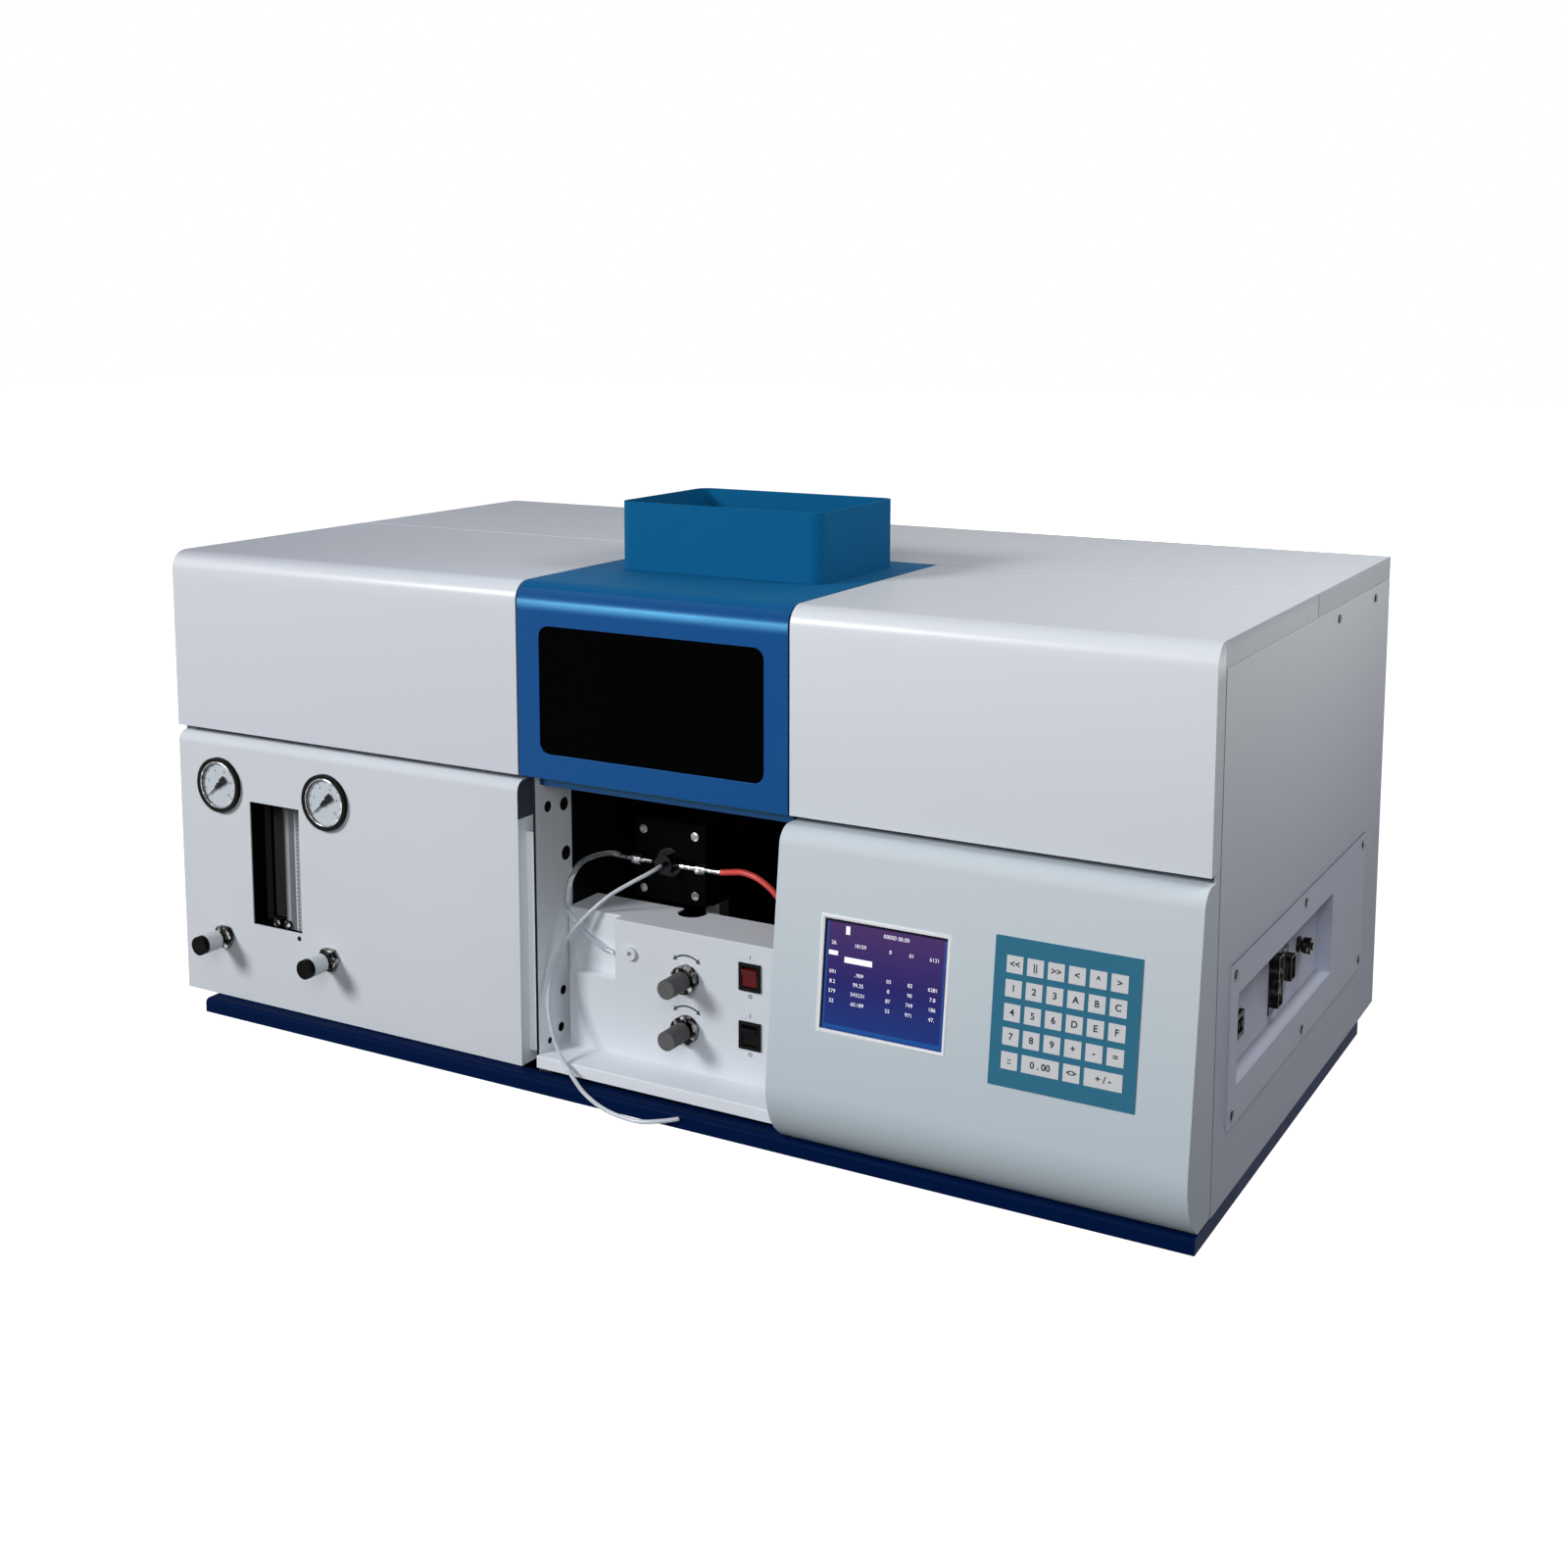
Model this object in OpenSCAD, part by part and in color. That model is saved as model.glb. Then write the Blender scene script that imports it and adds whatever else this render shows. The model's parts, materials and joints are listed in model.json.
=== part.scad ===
// Flame atomic absorption spectrophotometer for the laboratory bench.
// Lamp compartment on the left, burner chamber with a blue hood in the middle,
// monochromator and operating console on the right.
// Every piece is laid out from the left end of the front face at bench level:
// x runs to the right, y to the back and z up. placed() then brings the point
// under the middle of the instrument to the origin.

/* [Cabinet] */
// Width over the side panels
body_w = 1020; // [1000:2:1060]
// Depth from the front face of the lids to the back panel
body_d = 538; // [520:2:580]
// Height of the flat top over the bench
body_h = 446; // [440:1:460]
// Thickness of the painted steel covers
sheet = 1.5; // [1:0.25:2]
// Outside radius of the bend along the top front edge
bend_r = 17; // [10:1:24]
// Height of the lower edge of the lids and the hood
lid_z = 277; // [270:1:284]
// Depth of the stiffening fold under the lids
lid_fold = 12; // [8:1:16]
// Open groove under the lids
groove = 6; // [3:0.5:9]
// Distance from the front face to the fixed rear deck
seam_y = 276; // [272:1:290]
// Depth of the side laps of the lids and the front panels
lap = 20; // [16:1:24]
// Drop of the side flanges of the top covers
flange = 20.5; // [18:0.5:24]
// Gap between neighbouring covers
seam = 1.5; // [1:0.25:2]
// Gap between sheets that slide past or nearly touch each other
slip = 0.5; // [0.3:0.1:0.7]
// Width of the folded feet of the side and back panels
panel_foot = 58; // [50:1:64]
// Depth of the inner lip that stiffens the side panels
side_lip = 25; // [18:1:30]

/* [Base tray] */
// Height of the tray
base_h = 13; // [11:0.5:16]
// Wall thickness of the tray
base_wall = 2; // [1.5:0.25:2.5]
// Thickness of the tray floor
base_floor = 3; // [2:0.5:4]
// Reach of the tray in front of the lids
base_front = 15; // [12:1:17]
// Inset of the tray from the left side
base_left = 38; // [30:1:44]
// Inset of the tray from the back
base_rear = 58; // [50:1:64]
// Radius of the upper front edge of the tray
base_edge = 4; // [2:0.5:5]
// Clear height between the tray and the front panels
base_gap = 1; // [0.5:0.25:2]

/* [Burner chamber] */
// Inner face of the left chamber wall
chamber_x = 423; // [415:1:431]
// Inside width of the chamber
chamber_w = 252; // [244:1:260]
// Inside depth of the chamber
chamber_d = 262; // [258:1:264]
// Thickness of the chamber walls
wall = 2; // [1.5:0.25:2.5]
// Height of the chamber floor over the bench
floor_z = 26.8; // [24:0.2:30]
// Height of the folded front edge of the floor
sill_h = 10.8; // [9:0.2:12]
// Height of the side walls
wall_top = 438; // [430:1:442]
// Height of the back wall, below the hinge arms
back_top = 390; // [380:1:394]
// Width of the recessed strip between the gas panel and the chamber
jamb_w = 14; // [10:1:18]
// Setback of that strip behind the front face
jamb_y = 12; // [8:1:16]
// Lead of the left wall in front of that strip
wall_lead = 9; // [5:1:10]
// Diameter of the light path through the walls
light_d = 40; // [34:1:44]
// Diameter of the screw holes in the left wall
wall_hole = 7; // [5:0.5:8]

/* [Hood and chimney] */
// Overhang of the hood to the left of the chamber
hood_lap = 13.5; // [12:0.5:15]
// Margin of the window from the left edge of the hood
window_margin = 22.5; // [18:0.5:26]
// Width of the window
window_w = 221; // [205:1:225]
// Height of the window
window_h = 111; // [100:1:116]
// Height of the window over the lower edge of the hood
window_up = 22; // [18:1:26]
// Corner radius of the window
window_r = 10; // [6:1:14]
// Thickness of the dark glass
glass = 4; // [3:0.5:5]
// Overlap of the glass behind the hood
glass_lap = 8; // [5:1:10]
// Drop of the blue rail under the hood
rail_drop = 9; // [6:1:10]
// Margin of the chimney from the left edge of the hood
chimney_margin = 33; // [30:1:38]
// Width of the chimney
chimney_w = 203; // [190:1:206]
// Front of the chimney behind the front face
chimney_y = 108; // [100:1:114]
// Depth of the chimney
chimney_d = 142; // [130:1:146]
// Height of the chimney over the top
chimney_h = 61; // [50:1:90]
// Radius of the upright edges of the chimney
chimney_r = 12; // [8:1:16]

/* [Lid hinges] */
// Diameter of the hinge rod
rod_d = 8; // [7:0.5:9]
// Distance of the rod behind the seam
hinge_back = 24; // [22:0.5:26]
// Depth of the rod under the top
hinge_drop = 10; // [9.5:0.25:12]
// Drop of the goose-neck arms under the rod
arm_drop = 30; // [26:1:32]
// Reach of the arms in front of the rod
arm_reach = 56; // [52:1:60]
// Width of the arm plates
arm_w = 12; // [10:0.5:13]
// Thickness of the arm plates
arm_t = 4; // [3:0.5:5]
// Diameter of the eye round the rod
eye_d = 15; // [13:0.5:16]
// Thickness of the lugs under the rear deck
lug_t = 3; // [2:0.5:4]
// Distance of the arms from the ends of the lids
arm_inset = 56; // [48:1:64]
// Radial clearance of shafts in their bores
fit = 0.05; // [0.02:0.01:0.09]
// Clearance of the lid edges as they swing past the deck
swing = 0.6; // [0.4:0.1:0.9]

/* [Gas panel] */
// First column of gauge and valve
gas_x = 53; // [48:1:56]
// Distance to the second column
gas_pitch = 133.5; // [130:0.5:138]
// Height of the gauges
gauge_z = 224; // [216:1:228]
// Diameter of the gauge bezels
bezel_d = 53; // [50:0.5:58]
// Reach of the bezels in front of the panel
bezel_h = 4.5; // [4:0.5:6]
// Diameter of the gauge cases behind the panel
case_d = 50; // [46:0.5:50]
// Depth of the gauge cases
case_depth = 28; // [24:1:32]
// Wall of the bezels
bezel_wall = 3.5; // [2.5:0.25:4]
// Thickness of the dials
dial_t = 0.8; // [0.5:0.1:1]
// Diameter of the pointer spindles
spindle_d = 2; // [1.5:0.25:2.5]
// Length of the pointers
pointer_l = 17; // [14:0.5:18]
// Turn of the pointers from upright at zero pressure
pointer_zero = 230; // [220:1:240]
// Left edge of the flowmeter window
flow_x = 90; // [88:0.5:93]
// Width of the flowmeter window
flow_w = 62; // [58:1:64]
// Lower edge of the flowmeter window
flow_z = 92; // [88:1:96]
// Height of the flowmeter window
flow_h = 120; // [114:1:124]
// Depth of the flowmeter recess
flow_depth = 44; // [40:1:50]
// Width of the clear tube block
tube_w = 23; // [20:1:25]
// Depth of the clear tube block
tube_d = 24; // [20:1:28]
// Diameter of the bore in the tube block
tube_bore = 8; // [7:0.5:9]
// Diameter of the float
float_d = 7.6; // [6:0.1:7.8]
// Height of the valve knobs
valve_z = 74; // [68:1:78]
// Diameter of the valve knobs
valve_knob_d = 18; // [14:0.5:20]
// Length of the valve knobs
valve_knob_l = 23; // [18:1:26]
// Diameter of the valve stems
stem_d = 5; // [4:0.25:6]
// Width across flats of the valve nuts
nut_af = 21; // [18:0.5:24]
// Thickness of the valve nuts
nut_t = 7; // [5:0.5:8]
// Reach of the valve bodies behind the panel
valve_back = 34; // [28:1:40]

/* [Console] */
// Radius of the lip along the top of the console
lip_r = 16; // [12:1:18]
// Setback of the lip centre behind the front face
lip_y = 2; // [0:0.5:5]
// Radius of the roll along the bottom of the console
roll_r = 56; // [52:1:58]
// Setback of the roll centre behind the front face
roll_y = 20; // [18:0.5:24]
// Height of the roll centre
roll_z = 62; // [60:1:66]
// Left edge of the screen
screen_x = 720; // [712:1:730]
// Width of the screen
screen_w = 105; // [98:1:110]
// Height of the screen centre
screen_z = 163; // [158:1:168]
// Height of the screen
screen_h = 87; // [82:1:92]
// Depth of the display module behind the panel
display_d = 14; // [10:1:18]
// Margin of the display module round the screen
display_rim = 4; // [3:0.5:5]
// Left edge of the keypad
keypad_x = 864; // [856:1:870]
// Width of the keypad
keypad_w = 114; // [110:1:118]
// Height of the keypad centre
keypad_z = 160.5; // [156:0.5:166]
// Height of the keypad
keypad_h = 112; // [108:1:116]
// Thickness of the keypad overlay
keypad_t = 1; // [0.6:0.1:1.5]
// Side of a key
key_s = 13; // [10:0.25:14]
// Distance between columns of keys
key_pitch = 16.25; // [15:0.25:17]
// Distance between rows of keys
key_rows = 18; // [15:0.25:19]
// Height of the raised keys
key_h = 0.4; // [0.2:0.1:0.8]

/* [Control box] */
// Front face of the box behind the front of the cabinet
box_y = 38; // [34:1:42]
// Depth of the box
box_d = 55; // [54:1:57]
// Height of the box over the bench
box_top = 149.5; // [148:0.25:150]
// Depth of the front part, in front of the corner that is cut away
box_step = 10.5; // [9:0.5:12]
// Gap between the chamber wall and the front part
box_gap = 9; // [7:0.5:11]
// Left side of the tall part, measured from the chamber wall
box_x = 58; // [54:1:60]
// Height of the low ledge on the left
ledge_top = 94.5; // [90:0.5:98]
// Column of the two burner knobs
knob_x = 555; // [552:0.5:558]
// Height of the height knob
height_z = 109; // [106:0.5:111]
// Height of the angle knob
angle_z = 64; // [60:0.5:66]
// Diameter of the burner knobs
knob_d = 17; // [15:0.5:20]
// Length of the burner knobs
knob_l = 25; // [20:1:26]
// Diameter of the chrome collars
collar_d = 25; // [21:0.5:26]
// Thickness of the chrome collars
collar_t = 8; // [6:0.5:9]
// Diameter of the knob shafts
shaft_d = 6; // [5:0.25:7]
// Diameter of the threaded bushes
bush_d = 12; // [10:0.5:13]
// Column of the two switches
switch_x = 618; // [614:1:624]
// Height of the red switch
red_z = 121; // [118:1:124]
// Height of the black switch
black_z = 70; // [66:1:74]
// Width of the switch frames
switch_w = 21; // [19:0.5:23]
// Height of the switch frames
switch_h = 24; // [22:0.5:26]
// Thickness of the switch frames
switch_t = 2; // [1.5:0.25:3]
// Depth of the switch bodies behind the panel
switch_d = 18; // [15:1:22]
// Wall of the switch bodies
switch_wall = 3; // [2.5:0.25:3.5]
// Tilt of a rocker at either end of its travel
rocker_tilt = 8; // [5:0.5:9]
// Grommet column, measured from the left side of the tall part
grommet_in = 17; // [14:0.5:20]
// Grommet height
grommet_z = 121.5; // [118:0.5:126]
// Grommet diameter
grommet_d = 12; // [10:0.5:14]
// Width of the notch in the top of the box
notch_w = 26; // [22:1:30]
// Depth of the notch from the back edge of the box
notch_d = 20; // [18:1:24]
// Column of the notch
notch_x = 531; // [527:1:535]

/* [Burner] */
// Column of the spray chamber, where the hoses end
burner_x = 502; // [502:1:502]
// Offset of the burner neck to the right of the spray chamber axis
neck_off = 18; // [14:1:20]
// Flame line behind the front face
burner_y = 180; // [176:1:184]
// Axis height of the spray chamber
mist_z = 189; // [189:1:189]
// Diameter of the spray chamber
mist_d = 64; // [58:1:66]
// Rear end of the spray chamber
mist_back = 220; // [214:1:226]
// Side of the square front cap
cap_s = 74; // [70:1:75]
// Thickness of the front cap
cap_t = 12; // [10:0.5:14]
// Gap between the control box and the front cap
cap_gap = 3; // [3:1:3]
// Distance between the cap screws
cap_screws = 54; // [50:1:56]
// Diameter of the cap screw heads
cap_screw_d = 8; // [6:0.5:9]
// Diameter of the burner neck
neck_d = 24; // [20:0.5:26]
// Top of the burner neck
neck_top = 296; // [290:1:300]
// Height of the burner head
head_h = 27; // [22:1:30]
// Length of the burner head
head_l = 112; // [106:1:120]
// Width of the burner head
head_w = 28; // [24:1:32]
// Length of the flame slot
slot_l = 100; // [90:1:102]
// Width of the flame slot
slot_w = 0.6; // [0.5:0.1:1]
// Length of the nebulizer in front of the cap
neb_l = 12; // [12:1:12]
// Diameter of the nebulizer body
neb_d = 18; // [16:0.5:20]
// Reach of the air barb to the left of the nebulizer axis
air_reach = 49; // [49:1:49]
// Reach of the fuel barb to the right of the nebulizer axis
fuel_reach = 56; // [56:1:56]
// Side of the lift post along x
post_w = 14; // [12:0.5:15]
// Side of the lift post along y
post_d = 16; // [14:0.5:18]
// Lower end of the lift post at rest
post_z = 42; // [40:0.5:44]
// Middle of the lift post behind the front face
post_y = 124; // [121:0.5:127]
// Gear module of the rack and pinion
gear_m = 2; // [2:0.25:2]
// Teeth of the pinion
gear_n = 12; // [12:1:12]
// Height of the lift guide
guide_h = 44; // [38:1:46]
// Wall of the lift guide
guide_wall = 7; // [5:0.5:8]

/* [Optics] */
// Height of the light path
axis_z = 340; // [336:1:344]
// Underside of the optical bench
bench_z = 250; // [246:1:252]
// Thickness of the optical bench
bench_t = 8; // [6:0.5:9]
// Front edge of the optical bench
bench_y0 = 60; // [54:1:66]
// Rear edge of the optical bench
bench_y1 = 420; // [410:1:440]
// Lamps in the turret
lamp_n = 4; // [4:1:4]
// Radius of the lamp circle
lamp_ring = 50; // [48:0.5:53]
// Diameter of a lamp
lamp_d = 38; // [34:0.5:40]
// Length of a lamp
lamp_l = 150; // [140:1:160]
// Turret plate position
turret_x = 118; // [112:1:124]
// Thickness of the turret plate
turret_t = 8; // [6:0.5:10]
// Diameter of the turret plate
turret_d = 146; // [142:1:148]
// Diameter of the turret shaft
turret_shaft = 12; // [10:0.5:14]
// Thickness of the turret bearing
bearing_t = 14; // [12:0.5:16]
// Outside diameter of the lens tubes
lens_d = 50; // [46:0.5:54]
// Length of the left lens tube
lens_l = 80; // [70:1:88]
// Front of the monochromator
mono_y = 120; // [116:1:126]
// Left side of the monochromator, measured from the chamber
mono_gap = 83; // [78:1:88]
// Gap between the monochromator and the outside of the right side panel
mono_in = 20; // [16:1:24]
// Depth of the monochromator
mono_d = 290; // [270:1:294]
// Height of the monochromator
mono_h = 127; // [120:1:130]
// Wall of the monochromator casting
mono_wall = 3; // [2.5:0.25:4]
// Exit slit, measured from the left side of the monochromator
exit_in = 50; // [44:1:56]
// Width of the detector housing
detector_w = 64; // [58:1:70]
// Depth of the detector housing
detector_d = 66; // [60:1:70]
// Height of the detector housing
detector_h = 72; // [66:1:78]
// Side of the grating
grating_s = 40; // [34:1:44]
// Diameter of the grating spindle
grating_d = 8; // [7:0.5:9]

/* [Electronics] */
// Distance of the circuit board from the chamber
board_gap = 14; // [10:1:20]
// Distance of the circuit board from the foot of the right side panel
board_in = 21; // [16:1:26]
// Front edge of the circuit board
board_y = 150; // [140:1:160]
// Depth of the circuit board
board_d = 170; // [150:1:190]
// Thickness of the circuit board
board_t = 1.6; // [1.2:0.1:2.4]
// Height and diameter of the stand-offs under the circuit board
standoff_h = 10; // [8:0.5:14]
// Height of the lowest components on the circuit board
chip_h = 3; // [2:0.5:5]
// Distance of the power supply from the foot of the left side panel
supply_gap = 22; // [16:1:30]
// Front of the power supply
supply_y = 300; // [290:1:310]
// Width of the power supply
supply_w = 200; // [180:1:220]
// Depth of the power supply
supply_d = 150; // [140:1:160]
// Height of the power supply without its fins
supply_h = 110; // [100:1:120]
// Height of the cooling fins
fin_h = 14; // [10:0.5:18]

/* [Sockets] */
// Front edge of the socket plate
plate_y = 54; // [50:1:58]
// Length of the socket plate
plate_l = 420; // [410:1:424]
// Lower edge of the socket plate
plate_z = 68; // [64:1:72]
// Height of the socket plate
plate_h = 129; // [124:1:134]
// Inset of the screws from the edge of the plate
plate_inset = 9.5; // [8:0.5:11]
// Front edge of the recess, measured from the plate
recess_in = 18; // [16:0.5:20]
// Length of the recess
recess_l = 285; // [278:1:290]
// Lower edge of the recess, measured from the plate
recess_up = 30; // [28:0.5:31]
// Height of the recess
recess_h = 72; // [70:1:73]
// Depth of the recess
recess_d = 12; // [10:1:16]
// Front of the mains inlet, measured from the recess
mains_in = 24; // [18:1:30]
// Width of the mains inlet
mains_w = 28; // [27:0.5:32]
// Height of the mains inlet
mains_h = 20; // [18:0.5:24]
// Front of the small data socket, measured from the rear end of the recess
data_end = 114; // [108:1:118]
// Distance between the two data sockets
data_pitch = 38; // [32:1:42]
// Width of the data sockets
data_w = 18; // [15:0.5:20]
// Height of the large data socket
data_large = 56; // [52:1:60]
// Height of the small data socket
data_small = 34; // [30:1:38]
// Earth terminal, measured from the rear end of the recess
earth_in = 62; // [56:1:68]
// Diameter of the earth terminal
earth_d = 7; // [6:0.5:8]
// First side screw, measured from the rear deck's seam
rail_first = 70; // [60:1:80]
// Second side screw, measured from the rear deck's seam
rail_second = 204; // [190:1:210]
// Distance of the side screws under the flange of the rear deck
rail_under = 11; // [9:0.5:14]
// Diameter of the screw heads
screw_head_d = 7; // [6:0.5:8]
// Height of the screw heads
screw_head_h = 1.5; // [1:0.25:2]
// Diameter of the screw shanks
screw_d = 3; // [2.5:0.25:4]
// Reach of the gas inlets behind the back panel
inlet_reach = 18; // [14:1:22]
// Thread diameter of the gas inlets
inlet_d = 14; // [12:0.5:16]

/* [Hidden] */
$fn = 48;
far = 2000;
eps = 0.1;
overlap = 0.4;

// Names of all the pieces, one solid or one group of like solids each

// Paint and material colours
shell_white = "#cfd5dc";
hood_blue = "#13508f";
base_navy = "#15305f";
soot_black = "#1b1b1d";
chrome = "#c9ccd0";
dark_grey = "#5a5d60";
bare_alloy = "#a9adb1";

// Derived places
front_reach = max(nut_t + valve_gap() + valve_knob_l, roll_r - roll_y);
rear_reach = body_d + inlet_reach;
mid_x = (body_w + sheet) / 2;
mid_y = (rear_reach - front_reach) / 2;
chamber_x1 = chamber_x + chamber_w;
hood_x = chamber_x - hood_lap;
hood_w = chamber_x1 - hood_x;
left_lid_w = hood_x - seam;
right_lid_x = chamber_x1 + seam;
right_lid_w = body_w - right_lid_x;
gas_panel_w = chamber_x - wall - jamb_w;
panel_top = lid_z - groove;
panel_z = base_h + base_gap;
base_back = body_d - base_rear;
hinge_y = seam_y + hinge_back;
hinge_z = body_h - hinge_drop;
lid_back = hinge_y - sqrt(hinge_back * hinge_back + hinge_drop * hinge_drop) - swing;
bench_top = bench_z + bench_t;
box_left = chamber_x + box_x;
box_back = box_y + box_d;
cap_front = box_back + cap_gap;
barb_y = cap_front - neb_l / 2;
neck_x = burner_x + neck_off;
neb_front = cap_front - neb_l;
plate_z1 = plate_z + plate_h;
recess_y = plate_y + recess_in;
recess_z = plate_z + recess_up;
recess_floor = body_w - recess_d;
gas_columns = [gas_x, gas_x + gas_pitch];
post_x1 = knob_x - gear_m * gear_n / 2 - 1.25 * gear_m;
post_x0 = post_x1 - post_w;
pad_z = mist_z - mist_d / 2 - 6;
mono_x = chamber_x1 + wall + mono_gap;
mono_w = body_w - mono_in - mono_x;
exit_x = mono_x + exit_in;
turret_y = burner_y + lamp_ring;

// Gap between a valve nut and its knob
function valve_gap() = 6;

// Left ends of the hinge arms of each cover, and the lugs beside them
function pair(a, b) = [a, b - arm_t];
left_arms = pair(arm_inset, left_lid_w - arm_inset);
hood_arms = pair(chamber_x + wall, chamber_x1 - wall);
right_arms = pair(right_lid_x + arm_inset, body_w - arm_inset);
lug_x = [for (p = [left_arms, hood_arms, right_arms]) each
    [p[0] + arm_t + slip, p[1] - slip - lug_t]];

// Screw places on the right side panel, each as y and z
plate_screws = [for (y = [plate_y + plate_inset, plate_y + plate_l / 2, plate_y + plate_l - plate_inset],
    z = [plate_z + plate_inset, plate_z1 - plate_inset]) [y, z]];
rail_z = body_h - flange - rail_under;
rail_screws = [[seam_y + rail_first, rail_z], [seam_y + rail_second, rail_z]];

// Screw holes in the left chamber wall, each as y and z
wall_holes = [[46, 243], [48, 198], [41, 74], [37, 41]];

// Routes of the three free tubes, chosen by hand
air_route = [[453, 90, 189], [446, 88, 190.5], [438, 77, 191], [430.5, 61, 187], [426.8, 51, 176],
    [426, 46, 163], [427, 44.5, 150], [433.5, 44.5, 139.5], [445.6, 44.5, 129.5], [461, 44, 121],
    [470, 43.5, 117.5], [478, 43.5, 117]];
fuel_route = [[558, 90, 189], [569, 89.4, 191], [581, 88, 193], [596, 86.4, 191], [609, 85.2, 185],
    [618, 84.5, 178], [624, 84, 170], [628.5, 84, 161], [630, 84, 153]];
capillary_route = [[502, 80, 189], [501, 73, 187.6], [496, 66, 184], [485, 58, 177], [467, 47, 164],
    [446.5, 36, 142], [434, 28, 122.5], [428.6, 20, 105.5], [428.4, 12.5, 86], [432, 6.5, 66],
    [440, 1.5, 48], [450, -2.5, 34], [461.5, -6.5, 24], [474, -13, 18], [486, -18.5, 13], [503, -21.5, 6.4],
    [523, -24, 3], [546, -24, 2.3], [566, -20.5, 5.6], [581, -16.5, 9.4]];
air_d = 5;
fuel_d = 5.5;
capillary_d = 3.6;
air_end = air_route[len(air_route) - 1];
fuel_end = fuel_route[len(fuel_route) - 1];

// Moves the layout so that the origin is under the middle of the instrument
module placed() translate([-mid_x, -mid_y, 0]) children();

// Box between two opposite corners
module block(a, b) translate(a) cube(b - a);

// Extrudes a y,z outline along x
module along_x(x, length) translate([x, 0, 0]) rotate([90, 0, 90]) linear_extrude(length) children();

// Extrudes an x,z outline along y
module along_y(y, length) translate([0, y + length, 0]) rotate([90, 0, 0]) linear_extrude(length) children();

// Round bars along each axis
module rod_x(y, z, d, x0, x1) translate([x0, y, z]) rotate([0, 90, 0]) cylinder(d = d, h = x1 - x0);
module rod_y(x, z, d, y0, y1) translate([x, y0, z]) rotate([-90, 0, 0]) cylinder(d = d, h = y1 - y0);
module rod_z(x, y, d, z0, z1) translate([x, y, z0]) cylinder(d = d, h = z1 - z0);

// Rectangle with a round upper front corner
module front_round(y0, y1, z0, z1, r) {
    translate([y0 + r, z0]) square([y1 - y0 - r, z1 - z0]);
    translate([y0, z0]) square([r + eps, z1 - z0 - r]);
    translate([y0 + r, z1 - r]) circle(r, $fn = 64);
}

// Rectangle with four round corners
module round_rect(w, h, r) {
    translate([r, 0]) square([w - 2 * r, h]);
    translate([0, r]) square([w, h - 2 * r]);
    for (x = [r, w - r], y = [r, h - r]) translate([x, y]) circle(r);
}

// Bent sheet of the lids and the hood, seen from the side
module cover_outline() {
    difference() {
        front_round(0, lid_back, lid_z, body_h, bend_r);
        front_round(sheet, lid_back + sheet, lid_z + sheet, body_h - sheet, bend_r - sheet);
        translate([lid_fold, lid_z - sheet]) square([lid_back, 3 * sheet]);
    }
}

// Side lap of a lid: a strip along the front and the top
module lap_outline() {
    difference() {
        front_round(0, lid_back, lid_z, body_h, bend_r);
        translate([lap, lid_z - sheet]) square([lid_back, body_h - flange - lid_z + sheet]);
    }
}

// Goose-neck arm that carries a lid on the hinge rod
module hinge_arm(x) {
    foot = 2;
    along_x(x, arm_t) difference() {
        union() {
            translate([hinge_y, hinge_z]) circle(d = eye_d);
            translate([hinge_y - arm_w / 2, hinge_z - arm_drop]) square([arm_w, arm_drop]);
            translate([hinge_y - arm_reach - arm_w / 2, hinge_z - arm_drop - arm_w / 2])
                square([arm_reach + arm_w, arm_w]);
            translate([hinge_y - arm_reach - arm_w / 2, hinge_z - arm_drop])
                square([arm_w, body_h - sheet + overlap - hinge_z + arm_drop]);
        }
        translate([hinge_y, hinge_z]) circle(d = rod_d + 2 * fit);
    }
    block([x - arm_t / 2, hinge_y - arm_reach - arm_w, body_h - sheet - foot],
        [x + 3 * arm_t / 2, hinge_y - arm_reach + arm_w, body_h - sheet + overlap]);
}

module base_tray() color(base_navy) placed() difference() {
    along_x(base_left, body_w - base_left)
        front_round(-base_front, base_back, 0, base_h, base_edge);
    along_x(base_left + base_wall, body_w - base_left - 2 * base_wall) {
        translate([base_wall - base_front, base_floor])
            square([base_back + base_front - 2 * base_wall, base_h - base_wall - base_floor]);
        translate([base_wall, base_floor]) square([base_back - 2 * base_wall, base_h]);
    }
}

// Left side panel; the right one is its mirror image
module side_sheet() {
    z1 = body_h - flange - slip;
    block([0, lap + slip, base_h], [sheet, body_d, z1]);
    block([sheet - eps, lap + slip, base_h], [panel_foot, body_d - 2 * sheet, base_h + sheet]);
    block([sheet - eps, lap + slip, z1 - side_lip], [2 * sheet + slip, body_d - 2 * sheet, z1]);
    block([sheet + slip, lap + slip, z1 - eps], [2 * sheet + slip, lid_back, body_h - sheet - 2 * slip]);
    block([sheet + slip, seam_y, z1 - eps], [2 * sheet + slip, body_d - 2 * sheet, body_h - sheet]);
}

module left_side_panel() color(shell_white) placed() difference() {
    side_sheet();
    for (p = rail_screws) rod_x(p[0], p[1], screw_d, -eps, 3 * sheet);
}

module right_side_panel() color(shell_white) placed() difference() {
    translate([body_w, 0, 0]) mirror([1, 0, 0]) side_sheet();
    block([body_w - 2 * sheet, recess_y - sheet - slip, recess_z - sheet - slip],
        [body_w + sheet, recess_y + recess_l + sheet + slip, recess_z + recess_h + sheet + slip]);
    for (p = concat(rail_screws, plate_screws)) rod_x(p[0], p[1], screw_d, body_w - 3 * sheet, body_w + eps);
}

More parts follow.
